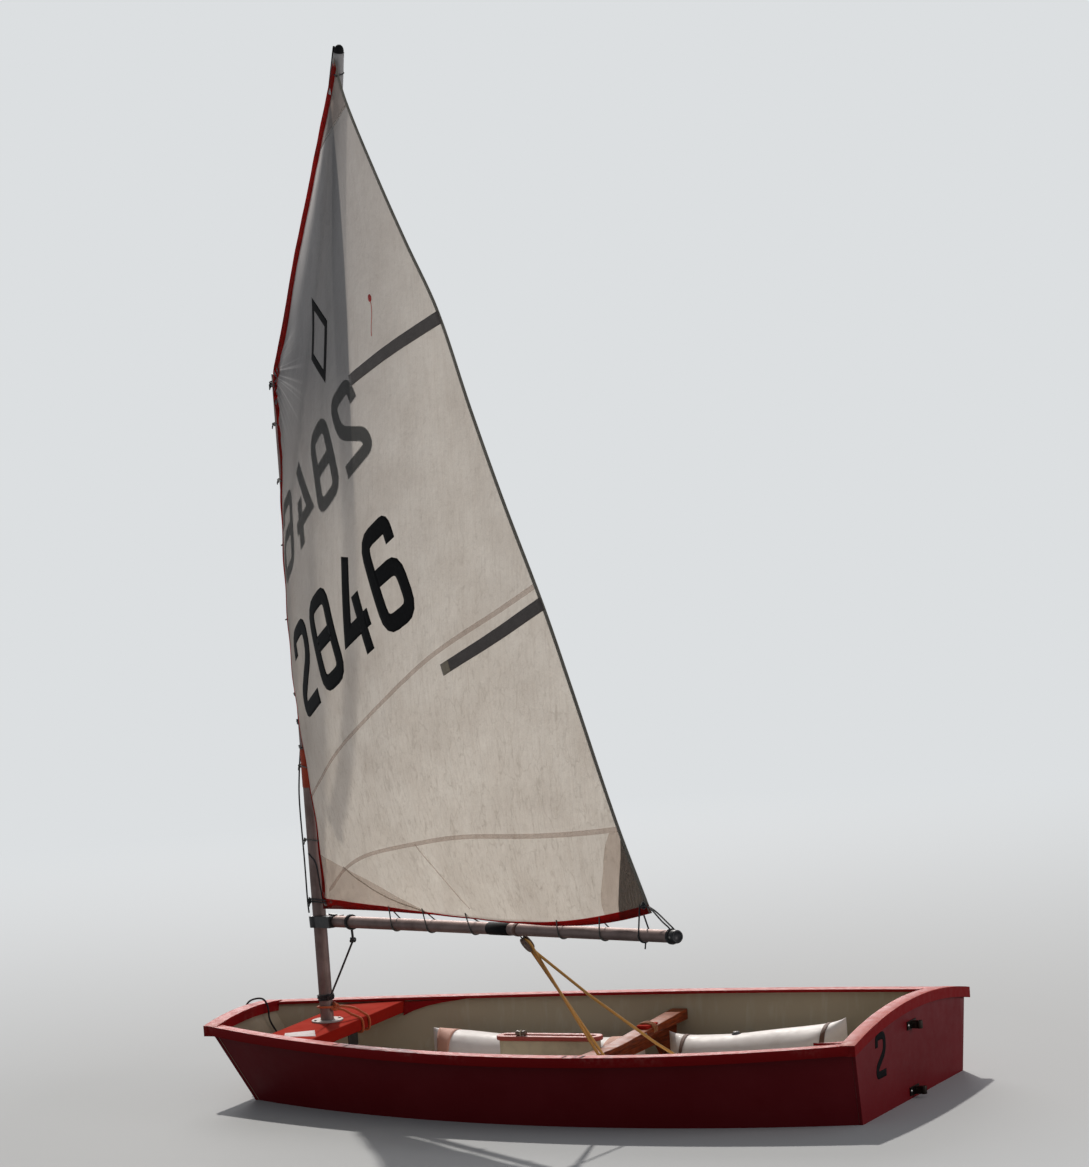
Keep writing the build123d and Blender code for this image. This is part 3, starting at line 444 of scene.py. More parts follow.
@dataclass(frozen=True)
class Sailcloth(Finish):
    """Resin-filled woven polyester sailcloth: crisp, faintly shiny, and it glows when the light is behind it."""

    colour: str = "#eeeae4"
    shade: str = "#d8d1c9"
    passes_light: float = 0.85
    clear: float = 0.0
    painted_crease_highlights: bool = False
    thread_mm: float = 2.2

    def fan(self, tree: NodeTree, spot: Node, centre: tuple[float, float], reach: float, depth: float, sparse: float,
            sweep: tuple[float, float] = (4.0, 5.0)) -> NodeSocket:
        """The share of painted highlights along pulled creases that fan out of one of the sail's corners.

        Args:
            tree: The material's nodes.
            spot: The node that splits the object's coordinates.
            centre: The corner, in length and height.
            reach: How far the creases run.
            depth: Their share at the corner.
            sparse: How much of the noise leaves no crease.
            sweep: The angles from upright, in radians, between which they fade.
        """
        off = [add_node(tree, "Math", (spot.outputs[axis], at), operation="SUBTRACT")
               for axis, at in ((0, centre[0]), (2, centre[1]))]
        turn = add_node(tree, "Math", (off[0], off[1]), operation="ARCTAN2")
        far = add_node(tree, "VectorMath", (add_node(tree, "CombineXYZ", (off[0], off[1])),), operation="LENGTH",
                       out="Value")
        rays = add_node(tree, "TexNoise", {"W": turn, "Scale": 13.0, "Detail": 3.0}, noise_dimensions="1D")
        pulled = add_node(tree, "MapRange", (rays, sparse, sparse + 0.14))
        close = add_node(tree, "MapRange", (far, reach * 0.15, reach, depth, 0.0))
        near = add_node(tree, "Math", (pulled, close), operation="MULTIPLY")
        off_upright = add_node(tree, "Math", (turn,), operation="ABSOLUTE")
        within = add_node(tree, "MapRange", (off_upright, sweep[0], sweep[1], 1.0, 0.0))
        return add_node(tree, "Math", (near, within), operation="MULTIPLY")

    def dress(self, tree: NodeTree, shader: Node) -> NodeSocket:
        """Cloth that is mottled, with its weave drawn coarse enough to show, painted shade along its creases and high
        up, a painted shadow and painted highlights on pulled creases.
        """
        weave = self.weave(tree, self.thread_mm)
        streak = self.cloud(tree, 7, 4, (1.0, 1.0, 0.05), levels=(0.45, 0.75, 0.0, 0.35))
        mottle = self.cloud(tree, 160, 6, levels=(0.35, 0.75, 0.0, 0.45))
        body = self.layers(tree, self.colour, (streak, self.shade), (mottle, self.shade),
                           (add_node(tree, "MapRange", (weave, -1.0, 1.0, 0.10, 0.0)), "#8d867a"))
        # Painted shade darkens the cloth along fine creases, most of all low down
        spot = add_node(tree, "SeparateXYZ", (self.object_point(tree),)).node
        for size, stretch, depth in ((46, (1.0, 1.0, 0.35), 0.15), (21, (0.7, 0.7, 0.5), 0.10)):
            off_middle = add_node(tree, "Math", (self.cloud(tree, size, 2, stretch), 0.5), operation="SUBTRACT")
            far = add_node(tree, "Math", (off_middle,), operation="ABSOLUTE")
            painted_crease_shade = add_node(tree, "MapRange", (far, 0.0, 0.020, depth, 0.0))
            low_down = add_node(tree, "MapRange", (spot.outputs[2], 1.1, 2.3, 1.0, 0.25))
            share = add_node(tree, "Math", (painted_crease_shade, low_down), operation="MULTIPLY")
            body = self.layers(tree, body, (share, "#8f8576"))
        # Painted shade: the cloth is darker high up and towards the luff
        high_up = add_node(tree, "MapRange", (spot.outputs[2], 1.0, 3.2, 0.0, 0.8))
        forward = add_node(tree, "MapRange", (spot.outputs[0], -0.1, 0.55, 0.4, 1.0))
        painted_high_shade = add_node(tree, "Math", (high_up, forward), operation="MULTIPLY")
        body = self.layers(tree, body, (painted_high_shade, "#b4b2b3"))
        # Two layers of painted shade darken the cloth before the sprit, and painted highlights show the pulled creases
        # pale in it
        before = add_node(tree, "MapRange", (spot.outputs[0], 0.279, 0.285, 0.0, 0.50))
        above = add_node(tree, "MapRange", (spot.outputs[2], 1.95, 2.45))
        painted_sprit_shadow = add_node(tree, "Math", (before, above), operation="MULTIPLY")
        body = self.layers(tree, body, (painted_sprit_shadow, "#7b8087"))
        if self.painted_crease_highlights:
            body = self.layers(tree, body, (self.fan(tree, spot, (0.795, 2.405), 0.26, 0.55, 0.52), "#efedec"),
                               (self.fan(tree, spot, (0.158, 3.52), 1.25, 1.0, 0.30, (2.700, 2.745)), "#f6f3f0"))
        plug_in(shader, {"Base Color": body, "Roughness": 0.52, "IOR": 1.5})
        crackle = self.relief(tree, shader, self.cloud(tree, 26, 6, (1.0, 1.0, 0.8)), 2.4)
        through = add_node(tree, "BsdfTranslucent", {"Color": body, "Normal": crackle})
        cloth = add_node(tree, "MixShader", (self.passes_light, shader.outputs[0], through))
        if not self.clear:
            return cloth
        # A second layer of cloth only dims what comes through the first
        open_share = add_node(tree, "BsdfTransparent", {"Color": linear("#f6f2f0")})
        return add_node(tree, "MixShader", (self.clear, cloth, open_share))


@dataclass(frozen=True)
class PaleGround(Finish):
    """Plain matt studio ground, which fades to the backdrop's colour far out."""

    colour: str = "#b7b9bb"
    bounce: str = "#606264"
    backdrop: str = "#dcdfe1"
    clear_radius: float = 1.7
    fade_radius: float = 6.5

    def dress(self, tree: NodeTree, shader: Node) -> NodeSocket:
        """Matt near the boat, and the backdrop's own colour beyond it."""
        path = add_node(tree, "LightPath").node
        plug_in(shader, {
            "Base Color": self.layers(tree, self.bounce, (path.outputs["Is Camera Ray"], self.colour)),
            "Roughness": 0.9, "Specular IOR Level": 0.2})
        far = add_node(tree, "VectorMath", (self.object_point(tree),), operation="LENGTH", out="Value")
        glow = add_node(tree, "Emission", {"Color": linear(self.backdrop), "Strength": 1.0})
        share = add_node(tree, "MapRange", (far, self.clear_radius, self.fade_radius))
        return add_node(tree, "MixShader", (share, shader.outputs[0], glow))


HULL_SKIN = HullLaminate("hull_laminate_red_outside")
RAIL_RED = Gelcoat("rail_gelcoat_red")
THWART_RED = Gelcoat("thwart_gelcoat_red", colour="#9a231b", faded="#ad463c", rubbed="#bd6a5c", shine=0.0)
CAP_RED = Gelcoat("trunk_cap_gelcoat_faded", colour="#a2504a", faded="#c98e84", rubbed="#dcb5ab")
LAMINATE = RolledLaminate("rolled_laminate_grey")
MAHOGANY = VarnishedMahogany("varnished_mahogany")
BAG_FILM = WeldedFilm("welded_pvc_film_white")
NYLON = MouldedPlastic("moulded_nylon_black")
NYLON_GREY = MouldedPlastic("moulded_nylon_grey", colour="#5b5c5e", rubbed="#7d7e80")
NYLON_PALE = MouldedPlastic("moulded_nylon_pale", colour="#b3a9a4", rubbed="#cbc3be", roughness=0.62, shine=0.12)
DARK_STEEL = RolledMetal("weathered_bronze_dark", colour="#4b443e", tarnish="#211d1a", roughness=0.42,
                         lines=(1.0, 1.0, 1.0))
STEEL = RolledMetal("polished_stainless_steel", colour="#a9a8a4", tarnish="#5e5a52", roughness=0.24,
                    lines=(1.0, 1.0, 1.0))
# The tube's colour is painted darker and warmer than plain aluminium, a painted reflection of dark surroundings
ALLOY = RolledMetal("anodised_aluminium_tube", colour="#9a8884", tarnish="#725f5b", roughness=0.62)
SHEET_ROPE = BraidedRope("braided_rope_yellow")
DARK_ROPE = BraidedRope("braided_rope_black", colour="#26262a", shade="#0d0d0f", fleck="#4c4c52", pick_mm=2.4)
GREY_ROPE = BraidedRope("braided_rope_grey", colour="#6c6a66", shade="#35342f", fleck="#9a978f", pick_mm=1.6)
ORANGE_ROPE = BraidedRope("braided_rope_orange", colour="#d9622a", shade="#8f3410", fleck="#f0a05e", pick_mm=2.8)
BROWN_ROPE = BraidedRope("braided_rope_brown", colour="#b8713c", shade="#713d1a", fleck="#d9a468", pick_mm=2.2)
PAINTER_ROPE = MouldedPlastic("painter_rope_black", colour="#1b1b1e", rubbed="#35353a", roughness=0.8)
CREAM_ROPE = BraidedRope("braided_rope_cream", colour="#d2c8ae", shade="#8f866c", fleck="#efe8d4", pick_mm=2.2)
ORANGE_TAPE = WovenBand("wound_tape_orange", colour="#cf4a22", shade="#93300f", rib_mm=1.6)
CLOTH = Sailcloth("woven_polyester_sailcloth", painted_crease_highlights=True)
SEAM_CLOTH = Sailcloth("sailcloth_seam_double", colour="#dccfc9", shade="#bfb1aa", passes_light=0.4, clear=0.84)
PATCH_CLOTH = Sailcloth("sailcloth_patch_layered", colour="#ddd6cc", shade="#c6bdb1", passes_light=0.4, clear=0.90)
DARK_PATCH = Sailcloth("sailcloth_patch_grey", colour="#6a5f54", shade="#54493f", passes_light=0.2, clear=0.34)
EDGE_STITCH = Sailcloth("sailcloth_patch_hem", colour="#c9bda9", shade="#a99d88", passes_light=0.2, clear=0.62)
SLEEVE_CLOTH = Sailcloth("sailcloth_sleeve_grey", colour="#807d7a", shade="#66635f", passes_light=0.15)
# The tape's colour is painted brighter than its own, as painted sunlight falling on it
RED_TAPE = WovenBand("edge_tape_red", colour="#f2382c", shade="#c62a20", rib_mm=1.4, passes_light=0.85)
LEECH_TAPE = WovenBand("edge_tape_grey", colour="#a29c90", shade="#6c675d", rib_mm=1.4, passes_light=0.3)
POCKET_CLOTH = WovenBand("batten_pocket_cloth", colour="#6d6460", shade="#4a4340", rib_mm=1.6, passes_light=0.12)
POCKET_END = WovenBand("batten_pocket_end_tape", colour="#a79a86", shade="#7d715f", rib_mm=1.6)
# The webbing's colour is painted paler than its own, as painted sunlight falling on it
BAG_BAND = WovenBand("bag_webbing_pink_brown", colour="#ecb49f", shade="#c48b79", rib_mm=2.4)
BAG_STRAP = WovenBand("bag_strap_brown", colour="#7b5546", shade="#4f342a", rib_mm=1.6)
TOGGLE_BROWN = MouldedPlastic("toggle_brown", colour="#5f4a3e", rubbed="#7d695b")
THWART_DARK = MouldedPlastic("joint_filler_dark", colour="#2a0f10", rubbed="#471c1c", roughness=0.7, shine=0.1)
NUMBER_FILM = MouldedPlastic("adhesive_film_black", colour="#0d0d0f", rubbed="#19191b", roughness=0.75, shine=0.15)
RED_FILM = MouldedPlastic("adhesive_film_red", colour="#b3201c", rubbed="#c24a40", roughness=0.5)
WHITE_FILM = MouldedPlastic("adhesive_film_white", colour="#a99b99", rubbed="#8f6a66", roughness=0.6, shine=0.2)


def link(name: str, mesh: Mesh, finish: Finish, smooth: bool = True) -> Object:
    """Put a mesh in the scene with a finish.

    Args:
        name: The piece's name.
        mesh: Its mesh.
        finish: What it is made of.
        smooth: Whether its faces are shaded smooth.

    Returns:
        The new object.
    """
    piece = bpy.data.objects.new(name, mesh)
    bpy.context.scene.collection.objects.link(piece)
    mesh.materials.append(finish.material())
    mesh.polygons.foreach_set("use_smooth", [smooth] * len(mesh.polygons))
    mesh.update()
    return piece


def from_rings(name: str, rings: Sequence[Sequence[Vector]], finish: Finish, closed: bool = True, ends: bool = True,
               loop: bool = False, lengths: Sequence[float] | None = None, girth: float = 1.0) -> Object:
    """Join rings of points into a skin.

    Args:
        name: The piece's name.
        rings: Rows of points, all as long.
        finish: What it is made of.
        closed: Whether each row closes on itself.
        ends: Whether the first and last rows are filled.
        loop: Whether the last row joins the first.
        lengths: The distance of each row along the piece, in metres, for its own coordinates.
        girth: What the rows' own coordinate runs to.

    Returns:
        The piece.
    """
    count, rows = len(rings[0]), len(rings)
    vertices = [p for ring in rings for p in ring]
    faces, coordinates = [], []
    run = list(lengths) if lengths else [j / max(rows - 1, 1) for j in range(rows)]
    if loop:
        run.append(run[-1] + (run[-1] - run[0]) / max(rows - 1, 1))
    for j in range(rows if loop else rows - 1):
        for i in range(count if closed else count - 1):
            k, l = (i + 1) % count, (j + 1) % rows
            faces.append((j * count + i, j * count + k, l * count + k, l * count + i))
            u0, u1 = girth * i / count, girth * (i + 1) / count
            coordinates += [(u0, run[j]), (u1, run[j]), (u1, run[j + 1]), (u0, run[j + 1])]
    if ends and closed and not loop:
        for j, order in ((0, range(count - 1, -1, -1)), (rows - 1, range(count))):
            faces.append(tuple(j * count + i for i in order))
            coordinates += [(0.0, run[j])] * count
    mesh = bpy.data.meshes.new(name)
    mesh.from_pydata(vertices, [], faces)
    layer = mesh.uv_layers.new(name="own")
    layer.data.foreach_set("uv", [c for pair in coordinates for c in pair])
    if closed and ends:
        work = bmesh.new()
        work.from_mesh(mesh)
        if work.calc_volume(signed=True) < 0:
            bmesh.ops.reverse_faces(work, faces=work.faces)
            work.to_mesh(mesh)
        work.free()
    return link(name, mesh, finish)


def smooth_line(points: Sequence[Vector], steps: int = 6, loop: bool = False) -> list[Vector]:
    """A smooth line through points.

    Args:
        points: The points it passes through.
        steps: How many pieces each span is cut into.
        loop: Whether it closes.

    Returns:
        The points of the line.
    """
    pts = [Vector(p) for p in points]
    n = len(pts)
    spans = n if loop else n - 1
    line = []
    for k in range(spans):
        before = pts[(k - 1) % n] if loop or k > 0 else pts[0] * 2 - pts[1]
        a, b = pts[k], pts[(k + 1) % n]
        after = pts[(k + 2) % n] if loop or k + 2 < n else b * 2 - a
        for i in range(steps):
            t = i / steps
            line.append(0.5 * ((2 * a) + (b - before) * t + (2 * before - 5 * a + 4 * b - after) * t ** 2
                               + (3 * a - before - 3 * b + after) * t ** 3))
    if not loop:
        line.append(pts[-1])
    return line


def tube(name: str, points: Sequence[Vector], radius: float, finish: Finish, sides: int = 10, steps: int = 6,
         loop: bool = False) -> Object:
    """A round rope, wire or bar along a smooth line.

    Args:
        name: The piece's name.
        points: The points it passes through.
        radius: Its radius.
        finish: What it is made of.
        sides: How many sides it has.
        steps: How many pieces each span is cut into.
        loop: Whether it closes on itself.

    Returns:
        The piece.
    """
    line = smooth_line(points, steps, loop)
    n = len(line)
    ways = []
    for k in range(n):
        a = line[(k - 1) % n] if loop or k > 0 else line[0]
        b = line[(k + 1) % n] if loop or k < n - 1 else line[-1]
        ways.append((b - a).normalized())
    side = ways[0].orthogonal().normalized()
    rings, lengths, total = [], [], 0.0
    for k, way in enumerate(ways):
        side = (side - way * side.dot(way)).normalized()
        other = way.cross(side)
        rings.append([line[k] + (side * cos(a) + other * sin(a)) * radius
                      for a in steps_round(sides)])
        lengths.append(total)
        if k < n - 1:
            total += (line[k + 1] - line[k]).length
    return from_rings(name, rings, finish, loop=loop, lengths=lengths)


def lathe(name: str, profile: Sequence[tuple[float, float]], origin: Vector, axis: Vector, finish: Finish,
          sides: int = 28) -> Object:
    """A turned piece.

    Args:
        name: The piece's name.
        profile: Radius and height of each ring, from one end to the other.
        origin: Where height 0 is.
        axis: The direction of height.
        finish: What it is made of.
        sides: How many sides it has.

    Returns:
        The piece.
    """
    up = axis.normalized()
    side = up.orthogonal().normalized()
    other = up.cross(side)
    rings = [[origin + up * h + (side * cos(a) + other * sin(a)) * max(r, 1e-5)
              for a in steps_round(sides)] for r, h in profile]
    return from_rings(name, rings, finish)


def slab(name: str, outline: Sequence[tuple[float, float]], thickness: float, place: Matrix, finish: Finish,
         rounding: float = 0.001) -> Object:
    """A flat piece with rounded edges.

    Args:
        name: The piece's name.
        outline: Its corners in its own plane, in metres.
        thickness: How thick it is, above the plane.
        place: The matrix that puts the plane in the boat.
        finish: What it is made of.
        rounding: How far its edges are rounded.

    Returns:
        The piece.
    """
    low = [place @ Vector((x, y, 0.0)) for x, y in outline]
    high = [place @ Vector((x, y, thickness)) for x, y in outline]
    piece = from_rings(name, [low, high], finish)
    round_edges(piece, rounding)
    return piece


def thicken(piece: Object, gauge: float, offset: float = 0.0) -> None:
    """Give a skin its thickness: half to each side at offset 0, and inwards at -1."""
    thick = piece.modifiers.new("gauge", "SOLIDIFY")
    thick.thickness = gauge
    thick.offset = offset


def steps_round(count: int) -> list[float]:
    """The angles of even steps round a circle."""
    return [2 * pi * k / count for k in range(count)]


def rounded_box(width: float, height: float, radius: float, steps: int = 4) -> list[tuple[float, float]]:
    """The outline of a rectangle with rounded corners about the origin."""
    outline = []
    for cx, cy, start in ((1, 1, 0), (-1, 1, 90), (-1, -1, 180), (1, -1, 270)):
        for k in range(steps + 1):
            a = radians(start + 90 * k / steps)
            outline.append((cx * (width / 2 - radius) + radius * cos(a), cy * (height / 2 - radius) + radius * sin(a)))
    return outline


def standing(origin: Vector, x_way: Vector, z_way: Vector) -> Matrix:
    """The matrix of a plane at origin with these x and z directions."""
    z = z_way.normalized()
    x = (x_way - z * x_way.dot(z)).normalized()
    y = z.cross(x)
    return Matrix((
        (x.x, y.x, z.x, origin.x), (x.y, y.y, z.y, origin.y), (x.z, y.z, z.z, origin.z), (0, 0, 0, 1)))


def round_edges(piece: Object, width: float, segments: int = 3, limit: float = 40.0) -> None:
    """Round a piece's sharp edges with a bevel.

    Args:
        piece: The piece, or a node's object.
        width: How far the rounding reaches.
        segments: How many steps it has.
        limit: Edges sharper than this many degrees are rounded.
    """
    weld = piece.modifiers.new("weld", "WELD")
    weld.merge_threshold = 1e-5
    bevel = piece.modifiers.new("rounding", "BEVEL")
    bevel.width = width
    bevel.segments = segments
    bevel.limit_method = "ANGLE"
    bevel.angle_limit = radians(limit)
    bevel.harden_normals = False


def overhand(name: str, centre: Vector, way: Vector, size: float, radius: float, finish: Finish) -> Object:
    """A small tied knot, a closed trefoil of rope.

    Args:
        name: The piece's name.
        centre: Its middle.
        way: The direction it is pulled along.
        size: Half its width.
        radius: The rope's radius.
        finish: The rope.

    Returns:
        The piece.
    """
    z = way.normalized()
    x = z.orthogonal().normalized()
    y = z.cross(x)
    points = []
    for k in range(24):
        t = 2 * pi * k / 24
        px, py, pz = sin(t) + 2 * sin(2 * t), cos(t) - 2 * cos(2 * t), -sin(3 * t)
        points.append(centre + (x * px + y * py) * size / 3 + z * pz * size * 0.55)
    return tube(name, points, radius, finish, 8, 2, loop=True)


def rounded_stroke(points: Sequence[tuple[float, float]], radius: float = 0.16) -> list[tuple[float, float]]:
    """A stroke's middle line with its corners rounded.

    Args:
        points: The corners; the line closes where the last is the first.
        radius: How far from a corner the rounding starts.

    Returns:
        The rounded line.
    """
    pts = [Vector(p) for p in points]
    shut = (pts[0] - pts[-1]).length < 1e-6
    line: list[Vector] = []
    body = pts[:-1] if shut else pts
    n = len(body)
    for k, p in enumerate(body):
        if not shut and k in (0, n - 1):
            line.append(p)
            continue
        before, after = body[(k - 1) % n], body[(k + 1) % n]
        r = min(radius, (before - p).length * 0.48, (after - p).length * 0.48)
        a, b = p + (before - p).normalized() * r, p + (after - p).normalized() * r
        for t in (0.0, 0.25, 0.5, 0.75, 1.0):
            line.append(a * (1 - t) ** 2 + p * 2 * t * (1 - t) + b * t ** 2)
    if shut:
        line.append(line[0].copy())
    return [(p.x, p.y) for p in line]


FIGURES: dict[str, list[list[tuple[float, float]]]] = {
    "2": [rounded_stroke([(0.07, 0.70), (0.07, 0.93), (0.55, 0.93), (0.55, 0.56), (0.09, 0.25), (0.07, 0.07),
                          (0.61, 0.07)])],
    "4": [[(0.42, 1.0), (0.07, 0.30), (0.61, 0.30)], [(0.44, 0.60), (0.44, 0.0)]],
    "6": [rounded_stroke([(0.55, 0.74), (0.55, 0.93), (0.07, 0.93), (0.07, 0.07), (0.55, 0.07), (0.55, 0.53),
                          (0.10, 0.53)])],
    "8": [rounded_stroke([(0.07, 0.52), (0.07, 0.93), (0.55, 0.93), (0.55, 0.52), (0.55, 0.07), (0.07, 0.07),
                          (0.07, 0.52)]),
          [(0.10, 0.51), (0.52, 0.51)]],
}


def stroke_edges(strokes: Sequence[Sequence[tuple[float, float]]],
                 stroke: float) -> list[list[tuple[tuple[float, float], tuple[float, float]]]]:
    """Left and right edges of each stroke of a figure, with mitred corners.

    Args:
        strokes: The middle lines of the strokes, in a box one unit high.
        stroke: Their width.

    Returns:
        For each stroke, pairs of edge points.
    """
    shaped = []
    for line in strokes:
        pts = [Vector((x, y)) for x, y in line]
        shut = (pts[0] - pts[-1]).length < 1e-6
        pairs = []
        for k, p in enumerate(pts):
            before = pts[k - 1] if k else (pts[-2] if shut else None)
            after = pts[k + 1] if k < len(pts) - 1 else (pts[1] if shut else None)
            a = (p - before).normalized() if before is not None else (after - p).normalized()
            b = (after - p).normalized() if after is not None else a
            n = Vector((-(a + b).y, (a + b).x)).normalized()
            n *= stroke / 2 / max(0.5, n.dot(Vector((-a.y, a.x))))
            pairs.append(((p + n).to_tuple(), (p - n).to_tuple()))
        shaped.append(pairs)
    return shaped


def figures(name: str, glyphs: Sequence[Sequence[Sequence[tuple[float, float]]]], pitch: float, stroke: float,
            lay: Callable[[float, float], Vector], finish: Finish) -> Object:
    """Plain figures cut from adhesive film.

    Args:
        name: The piece's name.
        glyphs: The figures, each as strokes in a box one unit high.
        pitch: How far apart the figures stand.
        stroke: The width of a stroke.
        lay: Turns a point of the row to a point in the boat.
        finish: What they are made of.

    Returns:
        The piece.
    """
    vertices, faces = [], []
    for place, strokes in enumerate(glyphs):
        for pairs in stroke_edges(strokes, stroke):
            for (a, b), (c, d) in zip(pairs, pairs[1:]):
                length = hypot(c[0] - a[0] + d[0] - b[0], c[1] - a[1] + d[1] - b[1]) / 2
                cuts = max(1, round(length / 0.06))
                for k in range(cuts):
                    t0, t1 = k / cuts, (k + 1) / cuts
                    base = len(vertices)
                    for j in range(5):
                        s = j / 4
                        for t in (t0, t1):
                            left = (a[0] + (c[0] - a[0]) * t, a[1] + (c[1] - a[1]) * t)
                            right = (b[0] + (d[0] - b[0]) * t, b[1] + (d[1] - b[1]) * t)
                            x, y = left[0] + (right[0] - left[0]) * s, left[1] + (right[1] - left[1]) * s
                            vertices.append(lay(place * pitch + x, y))
                    faces += [(base + 2 * j, base + 2 * j + 1, base + 2 * j + 3, base + 2 * j + 2) for j in range(4)]
    mesh = bpy.data.meshes.new(name)
    mesh.from_pydata(vertices, [], faces)
    work = bmesh.new()
    work.from_mesh(mesh)
    bmesh.ops.remove_doubles(work, verts=work.verts, dist=2e-4)
    work.to_mesh(mesh)
    work.free()
    piece = link(name, mesh, finish)
    thicken(piece, 0.0003)
    return piece


@dataclass(frozen=True)
class HullForm:
    """The outside of the planking, as quadratics in the share of the boat's length."""

    stern_x: float = -1.190
    stern_rake: float = 0.006
    bow_x: float = 1.072
    bow_rake: float = 0.165
    rocker_radius: float = 5.0
    rocker_low_x: float = -0.110
    beam_share: float = 0.48
    half_sheer: tuple[float, float, float] = (0.457, 0.540, 0.205)
    half_chine: tuple[float, float, float] = (0.412, 0.478, 0.188)
    depth: tuple[float, float, float] = (0.273, 0.358, 0.276)
    side_thickness: float = 0.006
    bottom_thickness: float = 0.009
    transom_thickness: float = 0.012

    def through(self, three: tuple[float, float, float], share: float) -> float:
        """The quadratic through the stern, widest and bow values."""
        first, middle, last = three
        curve = ((middle - first) / self.beam_share - (last - first)) / (self.beam_share - 1)
        return first + (last - first - curve) * share + curve * share * share

    def rocker(self, x: float) -> float:
        """Height of the outside of the bottom."""
        return (x - self.rocker_low_x) ** 2 / (2 * self.rocker_radius)

    def floor(self, x: float) -> float:
        """Height of the inside of the bottom."""
        return self.rocker(x) + self.bottom_thickness

    def share_at(self, x: float) -> float:
        """The share of the sheer's length at an x."""
        return (x - self.stern_x) / (self.bow_x - self.stern_x)

    def stern_face(self, z: float) -> float:
        """The x of the transom's after face at a height, which leans by its rake."""
        foot = self.stern_x + self.stern_rake
        return foot - (z - self.rocker(foot)) * self.stern_rake / self.depth[0] - self.transom_thickness

    def chine(self, share: float) -> Vector:
        """The port corner between bottom and side."""
        x = self.stern_x + self.stern_rake + share * (self.bow_x - self.bow_rake - self.stern_x - self.stern_rake)
        return Vector((x, self.through(self.half_chine, share), self.rocker(x)))

    def sheer(self, share: float) -> Vector:
        """The port top edge."""
        x = self.stern_x + share * (self.bow_x - self.stern_x)
        return Vector((x, self.through(self.half_sheer, share), self.chine(share).z + self.through(self.depth, share)))

    def half(self, x: float, z: float) -> float:
        """Half-breadth to the outside of the planking at an x and a height."""
        low = self.chine((x - self.stern_x - self.stern_rake) / (self.bow_x - self.bow_rake - self.stern_x
            - self.stern_rake))
        high = self.sheer(self.share_at(x))
        return low.y + (high.y - low.y) * (z - low.z) / (high.z - low.z)


